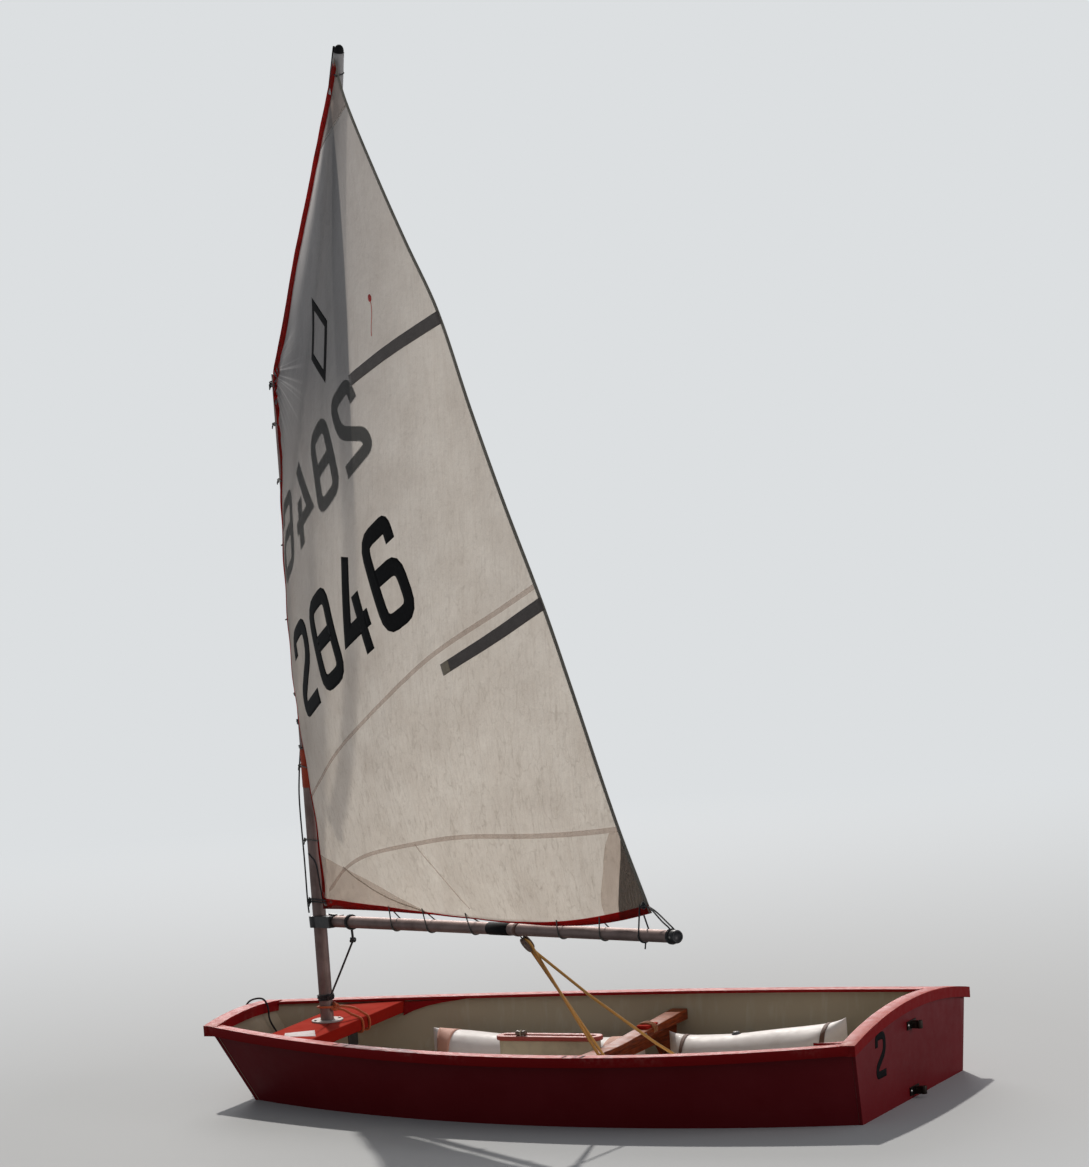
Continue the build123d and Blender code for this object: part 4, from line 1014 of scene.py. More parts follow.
@dataclass(frozen=True)
class RigForm:
    """Where the mast, boom, sprit and sail stand, and the sail's surface."""

    mast_x: float = 0.767
    mast_radius: float = 0.021
    mast_top: float = 2.399
    swing: float = 32.7
    boom_z: float = 0.675
    lift: float = 4.15
    boom_length: float = 2.040
    boom_radius: float = 0.0185
    sprit_heel_below: float = 1.166
    sprit_offset: float = 0.040
    sprit_radius: float = 0.014
    luff_gap: float = 0.015
    tack_above: float = 0.042
    clew_above: float = 0.066
    clew_reach: float = 1.915
    throat_below: float = 0.021
    peak_above: float = 0.969
    peak_reach: float = 0.729
    peak_swing: float = 43.4
    draft: float = 0.085
    foot_sag: float = 0.040
    foot_sag_shift: float = 2.4
    foot_held: float = 0.75
    luff_turn: tuple[tuple[float, float], ...] = (
        (0.0, 32.7), (0.15, 42.0), (0.3, 76.0), (0.45, 108.0), (0.6, 112.0), (0.75, 98.0), (0.88, 76.0), (1.0, 86.0))
    leech_out: tuple[tuple[float, float], ...] = (
        (0.0, 0.0), (0.1, -0.006), (0.256, 0.022), (0.349, 0.036), (0.477, 0.032), (0.583, 0.042),
        (0.70, 0.066), (0.78, 0.028), (0.86, -0.004), (0.95, -0.026), (1.0, 0.0))

    def along(self, swing: float) -> Vector:
        """The level direction aft, turned to port by an angle in degrees."""
        a = radians(swing)
        return Vector((-cos(a), sin(a), 0.0))

    def to_port(self, swing: float) -> Vector:
        """The level direction square to along(), on the port side."""
        a = radians(swing)
        return Vector((sin(a), cos(a), 0.0))

    def mast(self, z: float) -> Vector:
        """A point of the mast's axis."""
        return Vector((self.mast_x, 0.0, z))

    def boom(self, reach: float, up: float = 0.0, sideways: float = 0.0) -> Vector:
        """A point by its reach along the boom, above its axis and to port of it."""
        z = self.boom_z + reach * tan(radians(self.lift)) + up
        return self.mast(z) + self.along(self.swing) * reach + self.to_port(self.swing) * sideways

    def boom_way(self) -> Vector:
        """The boom's direction, aft and up."""
        return (self.boom(1) - self.boom(0)).normalized()

    def between(self, table: Sequence[tuple[float, float]], x: float) -> float:
        """A smooth curve through a table's rows."""
        at, value = [row[0] for row in table], [row[1] for row in table]
        last = len(table) - 1
        i = max(k for k in range(last) if k == 0 or at[k] <= x)

        def slope(k: int) -> float:
            before, after = max(k - 1, 0), min(k + 1, last)
            return (value[after] - value[before]) / (at[after] - at[before])

        span = at[i + 1] - at[i]
        t = (x - at[i]) / span
        return (value[i] + (value[i + 1] - value[i]) * (3 * t ** 2 - 2 * t ** 3)
                + span * (slope(i) * (t ** 3 - 2 * t ** 2 + t) + slope(i + 1) * (t ** 3 - t ** 2)))

    def sail(self, across: float, up: float, off: float = 0.0) -> Vector:
        """A point of the sail: across is 0 at the luff and 1 at the leech, up is 0 at the foot and 1 at the head."""
        throat = self.mast_top - self.throat_below
        low = self.boom_z + self.tack_above
        luff = self.mast(low + up * (throat - low)) + self.along(self.between(self.luff_turn,
            up)) * (self.mast_radius + self.luff_gap)
        clew = self.boom(self.clew_reach, self.clew_above)
        peak = self.mast(self.mast_top + self.peak_above) + self.along(self.peak_swing) * self.peak_reach
        leech = clew + (peak - clew) * up
        level = Vector((leech.x - luff.x, leech.y - luff.y, 0.0)).normalized()
        leech = leech + level * self.between(self.leech_out, up)
        chord = leech - luff
        side = Vector((level.y, -level.x, 0.0))
        if side.y < 0:
            side = -side
        fullness = 0.35 + 0.65 * sin(pi * min(1.0, up * 0.9 + 0.12))
        fullness *= (1 - up ** 4 * 0.8) * (1 - self.foot_held * max(1 - up, 0.0) ** 12)
        share = min(max(across, 0.0), 1.0)
        belly = self.draft * chord.length * fullness * sin(pi * share ** 0.85)
        sag = self.foot_sag * sin(pi * share ** self.foot_sag_shift) * max(1 - up, 0.0) ** 6
        return luff + chord * across + side * (belly + off + self.ripple(across, up)) - Vector((0, 0, sag))

    def ripple(self, across: float, up: float) -> float:
        """How far creases and slack push the cloth to port, in metres."""
        x, y = across * 1.5, (1 - up) * 1.66
        reach = hypot(x, y)
        turn = atan2(y, x + 1e-6)
        creases = 0.0080 * (1 - 2 * abs(sin(turn * 10 + 1.3 * sin(turn * 4)))) * exp(-reach / 0.26) * min(1.0,
            reach / 0.06)
        low = hypot(x, up * 1.66)
        tack = 0.0018 * sin(atan2(up * 1.66, x + 1e-6) * 17) * exp(-low / 0.22) * min(1.0, low / 0.05)
        scallop = 0.0016 * cos(2 * pi * up * 9) * exp(-x / 0.06)
        foot = 0.0020 * cos(2 * pi * across * 7) * exp(-up * 1.66 / 0.08)
        edge = min(1.0, max(0.0, x / 0.04)) * min(1.0, max(0.0, (1 - across) * 1.5 / 0.08))
        slack = 0.0042 * noise.noise(Vector((x * 2.6, (1 - up) * 1.9, 3.7))) + 0.0011 * noise.noise(Vector((x * 12,
            y * 9, 8.1)))
        slack += 0.0016 * noise.noise(Vector((x * 16, y * 22, 1.4))) * max(0.0, 1 - up / 0.35)
        flute = 0.0016 * sin(across * 26 + 2.0 * sin(up * 7)) * exp(-((up - 0.25) / 0.3) ** 2)
        return creases + tack + scallop + foot + (slack + flute) * edge

    def sprit_ends(self) -> tuple[Vector, Vector]:
        """The sprit's heel and tip."""
        heel = self.mast(self.mast_top - self.sprit_heel_below) - self.to_port(self.peak_swing) * self.sprit_offset
        tip = self.mast(self.mast_top + self.peak_above + 0.034) + self.along(self.peak_swing) * (self.peak_reach
            - 0.004) \
            - self.to_port(self.peak_swing) * 0.020
        return heel, tip

    def chord_length(self, up: float) -> float:
        """How far it is from luff to leech at a height share."""
        return (self.sail(1, up) - self.sail(0, up)).length


@dataclass
class SubAssembly:
    """A group of pieces that ride on one body."""

    hull: HullForm
    rig: RigForm
    made: list[Object] = field(default_factory=list)
    body: ClassVar[Body] = Body.HULL

    def keep(self, piece: Object, slot: str) -> Object:
        """Let a piece ride on the group's body."""
        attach(piece, self.body.value)
        self.made.append(piece)
        LOG.info("%s rides on %s", piece.name, self.body.value)
        return piece

    def rope(self, name: str, points: Sequence[Vector], radius: float, finish: Finish, sides: int = 8, steps: int = 6,
             loop: bool = False) -> Object:
        """Keep a rope, which tube() makes."""
        return self.keep(tube(name, points, radius, finish, sides, steps, loop), "rope")

    def build(self) -> None:
        """Build the pieces."""


@dataclass
class KeptSolids(SubAssembly):
    """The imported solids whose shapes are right, which get their finishes and rounded edges here."""

    finishes: tuple[tuple[Finish, float, tuple[str, ...]], ...] = (
        (HULL_SKIN, 0.0, ("bottom_panel", "side_panel_port", "side_panel_starboard")),
        (HULL_SKIN, 0.0015, ("stern_transom", "bow_transom")),
        (RAIL_RED, 0.006, ("gunwale_port", "gunwale_starboard")),
        (RAIL_RED, 0.0075, ("stern_cap", "bow_cap")),
        (RAIL_RED, 0.002, ("stern_knee_port", "stern_knee_starboard")),
        (THWART_RED, 0.0035, ("mast_thwart",)),
        (CAP_RED, 0.003, ("trunk_cap",)),
        (LAMINATE, 0.003, ("daggerboard_trunk", "mast_step")),
        (MAHOGANY, 0.002, ("cross_frame",)),
        (NYLON_PALE, 0.0015, ("mast_collar",)),
        (NYLON, 0.0012, ("mast_plug", "boom_jaws", "sprit_heel_cap")),
        (NYLON, 0.0008, ("floor_block",)),
        (DARK_STEEL, 0.0008, ("gudgeon_upper", "gudgeon_lower")),
        (STEEL, 0.0008, ("bow_eye",)),
        (ALLOY, 0.0, ("mast", "boom", "sprit")),
    )

    def build(self) -> None:
        """Dress each kept node."""
        for finish, rounding, nodes in self.finishes:
            for name in nodes:
                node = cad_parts[name]
                for place in node.material_slots:
                    place.material = finish.material()
                if rounding:
                    round_edges(node, rounding)
                LOG.info("%s is %s", name, finish.name)


@dataclass
class Sail(SubAssembly):
    """The four-sided sail with its seams, patches, tapes, battens, eyelets and numbers."""

    body: ClassVar[Body] = Body.RIG
    columns: int = 96
    rows: int = 168
    cloth_gauge: float = 0.0004
    tape_gauge: float = 0.0015
    number_stroke: float = 0.17

    def patch(self, name: str, place: Place, across: int, along: int, off: float, gauge: float, finish: Finish,
              size: tuple[float, float] = (1.0, 1.0)) -> Object:
        """A thin piece that lies on the sail.

        Args:
            name: The piece's name.
            place: Turns shares of the patch to shares of the sail.
            across: How many faces it has one way.
            along: How many the other way.
            off: How far to port of the sail's middle surface its middle is.
            gauge: Its thickness.
            finish: What it is made of.
            size: Its size each way in metres, for its own coordinates.

        Returns:
            The piece.
        """
        rows = [[self.rig.sail(*place(i / across, j / along),
                               off) for i in range(across + 1)] for j in range(along + 1)]
        piece = from_rings(name, rows, finish, closed=False, lengths=[size[1] * j / along for j in range(along + 1)],
                           girth=size[0] * (across + 1) / across)
        thicken(piece, gauge)
        self.keep(piece, "sailcloth")
        return piece

    def strip(self, name: str, path: Sequence[tuple[float, float]], width: float, off: float, gauge: float,
              finish: Finish,
              steps: int = 60) -> Object:
        """A band of even width along a line on the sail.

        Args:
            name: The piece's name.
            path: Shares across and up the sail that the line passes through.
            width: The band's width.
            off: How far to port of the sail's middle surface it lies.
            gauge: Its thickness.
            finish: What it is made of.
            steps: How many faces it has along the line.

        Returns:
            The piece.
        """
        line = smooth_line([Vector((a, u, 0)) for a, u in path], 12)
        high = (self.rig.sail(0.5, 1) - self.rig.sail(0.5, 0)).length

        def place(s: float, t: float) -> tuple[float, float]:
            at = t * (len(line) - 1)
            k = min(int(at), len(line) - 2)
            here = line[k].lerp(line[k + 1], at - k)
            wide = self.rig.chord_length(min(max(here.y, 0.0), 1.0))
            way = line[k + 1] - line[k]
            way = Vector((way.x * wide, way.y * high, 0)).normalized()
            shift = (s - 0.5) * width
            return min(max(here.x - way.y * shift / wide, 0.0), 1.0), min(max(here.y + way.x * shift / high, 0.0), 1.0)

        return self.patch(name, place, 2, steps, off, gauge, finish, (width, 1.5))

    def cloth(self) -> Object:
        """The cloth itself."""
        piece = self.patch("sail_cloth", lambda s, t: (s, t), self.columns, self.rows, 0.0, self.cloth_gauge, CLOTH,
                           (1.6, 2.6))
        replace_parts(piece, "sail")
        return piece

    def binding(self, name: str, edge: Callable[[float, float], tuple[float, float]], width: Callable[[float], float],
                finish: Finish, along: int) -> None:
        """A tape folded over an edge of the sail.

        Args:
            name: The piece's name.
            edge: Turns a share along the edge and a share in from it to shares of the sail.
            width: How far the tape reaches in, square to the edge, at a share along it.
            finish: What it is made of.
            along: How many faces it has along the edge.
        """
        profile = [(1.0, 1.0), (0.5, 1.0), (0.0, 1.0), (0.0, 0.0), (0.0, -1.0), (0.5, -1.0), (1.0, -1.0)]
        rows = []
        for j in range(along + 1):
            t = j / along
            here = self.rig.sail(*edge(t, 0.0))
            run = self.rig.sail(*edge(min(t + 0.01, 1.0), 0.0)) - self.rig.sail(*edge(max(t - 0.01, 0.0), 0.0))
            step = (self.rig.sail(*edge(t, 0.01)) - here)
            square = step.cross(run.normalized()).length / 0.01
            share = width(t) / square
            rows.append([self.rig.sail(*edge(t, inward * share), side * self.tape_gauge) for inward, side in profile])
        piece = from_rings(name, rows, finish, closed=False, lengths=[1.9 * j / along for j in range(along + 1)],
                           girth=0.06)
        thicken(piece, 0.0004)
        self.keep(piece, "sailcloth")

    def bindings(self) -> None:
        """The tapes round the four edges."""
        foot = ((0.0, 0.034), (0.10, 0.026), (0.24, 0.016), (0.40, 0.006), (0.60, 0.005), (0.74, 0.014),
                (0.88, 0.024), (1.0, 0.026))
        self.binding("sail_tape_foot", lambda t, d: (t, d), lambda t: self.rig.between(foot, t), RED_TAPE, 120)
        self.binding("sail_tape_head", lambda t, d: (t, 1 - d), lambda t: 0.030 - 0.006 * t, RED_TAPE, 60)
        self.binding("sail_tape_luff", lambda t, d: (d, t), lambda t: 0.022, RED_TAPE, 110)
        self.binding("sail_tape_leech", lambda t, d: (1 - d, t), lambda t: 0.010, LEECH_TAPE, 140)

    def seams(self) -> None:
        """The joins between the cloths, each a strip of doubled cloth."""
        for name, path in (
                ("sail_seam_lower", ((0.03, 0.035), (0.12, 0.074), (0.2408, 0.0966), (0.4311, 0.1089),
                                     (0.5929, 0.1136), (0.8, 0.105), (0.995, 0.0950))),
                ("sail_seam_middle", ((0.01, 0.214), (0.0691, 0.2286), (0.2708, 0.275), (0.4762, 0.3123),
                                      (0.6795, 0.3472), (0.995, 0.3749))),
                ("sail_seam_dart", ((0.4311, 0.1089), (0.47, 0.062), (0.5035, 0.0146)))):
            self.strip(name, path, 0.013 if "dart" not in name else 0.006, 0.0007, 0.0004, SEAM_CLOTH)

    def patches(self) -> None:
        """The doubled cloth in the corners."""
        def fan(corner: tuple[float, float], first: tuple[float, float], last: tuple[float, float],
                bulge: float) -> Place:
            def place(s: float, t: float) -> tuple[float, float]:
                edge_a = first[0] + (last[0] - first[0]) * t
                edge_u = first[1] + (last[1] - first[1]) * t
                swell = bulge * sin(pi * t)
                edge_a += (edge_a - corner[0]) * swell
                edge_u += (edge_u - corner[1]) * swell
                return corner[0] + (edge_a - corner[0]) * s, corner[1] + (edge_u - corner[1]) * s
            return place

        self.patch("sail_patch_tack", fan((0.002, 0.002), (0.004, 0.105), (0.36, 0.002), 0.05), 14, 24, 0.0009,
                   0.0004, PATCH_CLOTH)
        self.strip("sail_patch_tack_hem", ((0.35, 0.004), (0.24, 0.026), (0.17, 0.052), (0.115, 0.078)), 0.006,
                   0.0012, 0.0003, EDGE_STITCH, 30)
        self.strip("sail_patch_peak_hem", ((0.72, 0.992), (0.86, 0.968), (0.99, 0.947)), 0.006, 0.0012, 0.0003,
                   EDGE_STITCH, 20)
        pale = ((0.0, 0.880), (0.0226, 0.886), (0.0476, 0.914), (0.0777, 0.948), (0.0930, 0.972))
        grey = ((0.0, 0.913), (0.0175, 0.927), (0.0426, 0.955), (0.0677, 0.981), (0.0830, 0.993))
        for name, edge, off, finish in (("sail_patch_clew", pale, 0.0009, PATCH_CLOTH),
                                        ("sail_patch_clew_grey", grey, 0.0011, DARK_PATCH)):
            top = edge[-1][0]

            def side(s: float, t: float, edge=edge, top=top) -> tuple[float, float]:
                start = self.rig.between(edge, t * top)
                return start + (0.996 - start) * s, 0.0015 + t * (top - 0.0015)

            self.patch(name, side, 10, 24, off, 0.0004, finish)
        self.patch("sail_patch_peak", fan((0.996, 0.998), (0.70, 0.998), (0.996, 0.945), 0.0), 10, 16, 0.0009, 0.0004,
                   PATCH_CLOTH)

    def battens(self) -> None:
        """The batten pockets, each a strip sewn over its batten, and the lower one's end tape."""
        high = (self.rig.sail(1, 1) - self.rig.sail(1, 0)).length
        for name, outer, inner, width in (
                ("batten_lower", (0.998, 0.3542), (0.690, 0.3245), 0.040),
                ("batten_upper", (0.998, 0.6902), (0.610, 0.732), 0.040)):
            rise = width / high

            def place(s: float, t: float, outer=outer, inner=inner, rise=rise) -> tuple[float, float]:
                return inner[0] + (outer[0] - inner[0]) * t, inner[1] + (outer[1] - inner[1]) * t + rise * (s - 0.5)

            piece = self.patch(f"{name}_pocket", place, 6, 30, 0.0022, 0.0026, POCKET_CLOTH, (width, 0.5))
            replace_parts(piece, name)
            if name == "batten_lower":
                self.patch("batten_lower_end", lambda s, t, p=place: p(s, 0.005 + t * 0.075), 4, 4, 0.0040, 0.0006,
                           POCKET_END, (width, 0.04))

    def numbers(self) -> None:
        """A plain row of figures on each side, and a plain lozenge where a class sign would be."""
        glyphs = [FIGURES[d] for d in "2846"]
        width = 3 * 0.80 + 0.62
        for name, corners, off, mirrored in (
                ("sail_figures_port", ((0.105, 0.345), (0.672, 0.404), (0.650, 0.542), (0.075, 0.500)), 0.0009, False),
                ("sail_figures_starboard", ((0.030, 0.600), (0.655, 0.628), (0.602, 0.742), (0.030, 0.745)), -0.0009,
                 True)):
            bl, br, tr, tl = corners

            def lay(x: float, y: float, off=off, mirrored=mirrored, bl=bl, br=br, tr=tr, tl=tl) -> Vector:
                s = 1 - x / width if mirrored else x / width
                a = (bl[0] * (1 - s) + br[0] * s) * (1 - y) + (tl[0] * (1 - s) + tr[0] * s) * y
                u = (bl[1] * (1 - s) + br[1] * s) * (1 - y) + (tl[1] * (1 - s) + tr[1] * s) * y
                return self.rig.sail(a, u, off)

            piece = figures(name, glyphs, 0.80, self.number_stroke, lay, NUMBER_FILM)
            self.keep(piece, "black_plastic")
    
        def lozenge(x: float, y: float) -> Vector:
            return self.rig.sail(0.487 + (x - 0.5) * 0.12, 0.835 + (y - 0.5) * 0.105, 0.0009)

        sign = [[(0.5, 0.0), (1.0, 0.5), (0.5, 1.0), (0.0, 0.5), (0.5, 0.0)]]
        piece = figures("sail_lozenge", [sign], 1.0, 0.13, lozenge, NUMBER_FILM)
        self.keep(piece, "black_plastic")

    def peak_sleeve(self) -> None:
        """The pocket in the sail's peak that the sprit's tip stands in, with its dark fore edge."""
        heel, tip = self.rig.sprit_ends()
        way = (tip - heel).normalized()
        fore = Vector((1.0, 0.0, 0.0))
        fore = (fore - way * fore.dot(way)).normalized()
        side = way.cross(fore)
        rings = []
        for k in range(15):
            t = k / 14
            centre = tip - way * (0.150 - 0.132 * t)
            wide, deep = 0.0225 - 0.0063 * t, 0.0170 - 0.0008 * t
            rings.append([centre + fore * (wide - 0.0162 + wide * cos(a))
                          + side * (deep * sin(a) + 0.0006 * sin(9 * t + 2 * a))
                          for a in steps_round(28)])
        piece = from_rings("peak_sleeve", rings, SLEEVE_CLOTH, ends=False, girth=0.1)
        thicken(piece, 0.0008, -1.0)
        self.keep(piece, "sailcloth")
        edge = [tip - way * (0.150 - 0.148 * t) + fore * (0.0292 - 0.0125 * t) for t in (0, 0.25, 0.5, 0.75, 1)]
        self.keep(tube("peak_sleeve_edge", edge, 0.0036, NUMBER_FILM, 8), "sailcloth")

    def telltale(self) -> None:
        """A thread stuck to the cloth with a round red patch."""
        centre = self.rig.sail(0.787, 0.781, 0.0012)
        normal = (self.rig.sail(0.787, 0.781, 0.1) - self.rig.sail(0.787, 0.781, 0.0)).normalized()
        dot = lathe("telltale_patch", [(0.0, -0.0003), (0.0115, -0.0003), (0.0115, 0.0003), (0.0, 0.0003)], centre,
                    normal, RED_FILM, 24)
        self.keep(dot, "sailcloth")
        points = [self.rig.sail(0.787 - 0.033 * t + 0.006 * sin(5 * t), 0.781 - 0.036 * t,
                                0.0018 + 0.001 * t) for t in (0, 0.25, 0.5, 0.75, 1)]
        self.rope("telltale_thread", points, 0.0009, RED_TAPE, 6)

    def eyelet(self, name: str, across: float, up: float, radius: float = 0.008) -> Object:
        """A pressed steel ring through the cloth."""
        centre = self.rig.sail(across, up)
        normal = (self.rig.sail(across, up, 0.1) - centre).normalized()
        side = normal.orthogonal().normalized()
        other = normal.cross(side)
        rings = []
        for i in range(20):
            a = 2 * pi * i / 20
            way = side * cos(a) + other * sin(a)
            rings.append([centre + way * (radius + 0.0028 * cos(b)) + normal * 0.0020 * sin(b)
                          for b in steps_round(10)])
        piece = from_rings(name, rings, STEEL, loop=True)
        self.keep(piece, "steel")
        return piece

    def build(self) -> None:
        piece = self.cloth()
        self.bindings()
        self.seams()
        self.patches()
        self.battens()
        self.numbers()
        self.telltale()
        self.peak_sleeve()
        self.eyelet("eyelet_clew", 0.988, 0.010, 0.010)
        self.eyelet("eyelet_throat", 0.012, 0.990, 0.009)
        self.eyelet("eyelet_tack", 0.010, 0.012, 0.009)
        [p for p in self.made if p != piece]


@dataclass
class RigFittings(SubAssembly):
    """Lacings, lines and small fittings of the mast, boom and sprit."""

    body: ClassVar[Body] = Body.RIG
    lacing_radius: float = 0.0021
    luff_ties: tuple[float, ...] = (0.13, 0.27, 0.41, 0.55, 0.69, 0.81, 0.915)
    foot_ties: tuple[float, ...] = (0.472, 0.682, 0.938, 1.435, 1.66)

    def ring_tie(self, name: str, centre: Vector, axis: Vector, outward: Vector, pole: float, reach: float,
                 radius: float,
                 finish: Finish) -> None:
        """A lashing round a pole and through an eyelet beside it, with its knot and two short ends.

        Args:
            name: The piece's name.
            centre: A point of the pole's axis.
            axis: The pole's direction.
            outward: The direction from the axis to the eyelet.
            pole: The pole's radius.
            reach: How far the eyelet is from the axis.
            radius: The lashing's radius.
            finish: The rope.
        """
        z = axis.normalized()
        x = (outward - z * outward.dot(z)).normalized()
        y = z.cross(x)
        r = pole + radius * 1.05
        points = []
        for k in range(13):
            a = radians(55 + 250 * k / 12)
            points.append(centre + x * (r * cos(a)) + y * (r * sin(a)) + z * (radius * 1.1 * (k / 12 - 0.5)))
        points.append(centre + x * (reach + radius * 2.2) - y * radius * 0.8)
        points.append(centre + x * (reach + radius * 2.2) + y * radius * 0.8)
        self.rope(name, points, radius, finish, 8, 4, loop=True)
        knot_at = centre - x * (r * 0.35) - y * (r + radius * 0.9)
        self.keep(overhand(f"{name}_knot", knot_at, x, radius * 2.6, radius * 0.85, finish), "rope")
        down = Vector((0, 0, -1))
        for side, length in ((1, 0.014), (-1, 0.010)):
            end = [knot_at + x * side * radius * 1.5, knot_at + x * side * radius * 3 - y * 0.005 + down * length * 0.4,
                   knot_at + x * side * radius * 2.2 - y * 0.006 + down * length]
            self.rope(f"{name}_end_{'a' if side > 0 else 'b'}", end, radius * 0.85, finish, 6, 4)

    def lacings(self) -> None:
        """The ties that hold the luff to the mast and the foot to the boom."""
        rig = self.rig
        for k, up in enumerate(self.luff_ties):
            edge = rig.sail(0.006, up)
            centre = rig.mast(edge.z)
            out = edge - centre
            self.ring_tie(f"luff_tie_{k + 1}", centre, UP, out, rig.mast_radius, out.length, self.lacing_radius,
                          GREY_ROPE)
        way = rig.boom_way()
        for k, reach in enumerate(self.foot_ties):
            across = (reach - 0.036) / (rig.clew_reach - 0.036)
            edge = rig.sail(across, 0.004)
            centre = rig.boom(reach)
            centre = centre + way * (edge - centre).dot(way)
            out = edge - centre
            self.ring_tie(f"foot_tie_{k + 1}", centre, way, out, rig.boom_radius, out.length, self.lacing_radius,
                          GREY_ROPE)

    def corner_lines(self) -> None:
        """The outhaul at the clew, the clew's tie and the lashings at the throat and tack."""
        rig = self.rig
        way = rig.boom_way()
        clew = rig.sail(0.988, 0.010)
        end = rig.boom(rig.boom_length - 0.030, rig.boom_radius + 0.003)
        for k, (side, sag) in enumerate(((0.006, 0.016), (-0.006, 0.004))):
            off = rig.to_port(rig.swing) * side
            points = [clew + off + way * 0.004, clew.lerp(end, 0.35) + off * 1.6 + UP * sag,
                      clew.lerp(end, 0.75) + off * 1.4 + UP * sag * 0.4,
                      end + off + UP * 0.001, end + off * 2.4 - UP * 0.014]
            self.rope(f"outhaul_{k + 1}", points, 0.0024, DARK_ROPE)
        centre = rig.boom(rig.boom_length - 0.030)
        self.band("outhaul_turn", centre, way, rig.boom_radius, 0.0024, 2.0, DARK_ROPE)
        self.keep(overhand("clew_knot", clew + way * 0.004 + rig.to_port(rig.swing) * 0.004, way, 0.0085, 0.0026,
                           DARK_ROPE), "rope")
        reach = (clew - rig.mast(0)).dot(rig.along(rig.swing)) - 0.014
        base = rig.boom(reach)
        self.ring_tie("clew_tie", base, way, clew - base, rig.boom_radius, (clew - base).length - 0.012, 0.0024,
                      DARK_ROPE)
        tail = [base - rig.to_port(rig.swing) * 0.004 - UP * 0.019, base - UP * 0.028 + way * 0.002,
                base - UP * 0.040 - way * 0.001]
        self.rope("clew_tie_tail", tail, 0.0024, DARK_ROPE)
        for name, across, up in (("throat_lashing", 0.010, 0.988), ("tack_lashing", 0.010, 0.014)):
            edge = rig.sail(across, up)
            centre = rig.mast(edge.z)
            out = edge - centre
            for turn in (-1, 1):
                self.ring_tie(f"{name}_{'upper' if turn > 0 else 'lower'}", centre + UP * turn * 0.004, UP, out,
                              rig.mast_radius, out.length, 0.0022, DARK_ROPE)

    def band(self, name: str, centre: Vector, axis: Vector, pole: float, radius: float, turns: float,
             finish: Finish) -> None:
        """Rope wound round a pole in touching turns."""
        z = axis.normalized()
        x = z.orthogonal().normalized()
        y = z.cross(x)
        count = int(turns * 16)
        points = []
        for k in range(count + 1):
            a = 2 * pi * turns * k / count
            points.append(centre + (x * cos(a) + y * sin(a)) * (pole + radius)
                          + z * (2 * radius * turns * (k / count - 0.5)))
        self.rope(name, points, radius, finish, 8, 2)

    def sprit_lines(self) -> None:
        """The snotter that carries the sprit's heel, its tail down to the jaws, and the loop at the peak."""
        rig = self.rig
        heel, tip = rig.sprit_ends()
        way = (tip - heel).normalized()
        fore = Vector((1, 0, 0))
        top = rig.mast(heel.z + 0.075)
        self.band("snotter_turns", top, UP, rig.mast_radius, 0.0028, 2.0, DARK_ROPE)
        under = heel - way * 0.004 - UP * 0.012
        star = Vector((0, -1, 0))
        for k, side in enumerate((fore, -fore)):
            points = [top + star * (rig.mast_radius + 0.004) + side * 0.006, heel + UP * 0.030 + side * 0.019,
                      under + side * 0.012, under - UP * 0.006]
            self.rope(f"snotter_leg_{k + 1}", points, 0.0028, DARK_ROPE)
        tail = [rig.mast(heel.z - 0.004) + fore * 0.026 + star * 0.010]
        tail += [rig.mast(z) + fore * ahead for z, ahead in (
            (heel.z - 0.10, 0.034), (1.045, 0.040), (0.87, 0.038), (0.745, 0.038), (0.700, 0.036))]
        self.rope("snotter_tail", tail, 0.0026, DARK_ROPE)
        self.band("snotter_tail_turn", rig.mast(heel.z - 0.004), UP, rig.mast_radius, 0.0026, 1.0, DARK_ROPE)
        loop = [rig.mast(0.892) + fore * 0.012 - star * 0.021]
        loop += [rig.mast(z) + rig.along(turn) * off for z, turn,
                 off in ((0.86, 60, 0.026), (0.79, 45, 0.030), (0.735, 38, 0.036))]
        self.rope("downhaul", loop, 0.0024, DARK_ROPE)
        peak = rig.sail(0.985, 0.985)
        axis_point = heel + way * (peak - heel).dot(way)
        out = peak - axis_point
        self.ring_tie("peak_loop", axis_point, way, out, rig.sprit_radius, max(out.length, 0.017), 0.0022, DARK_ROPE)

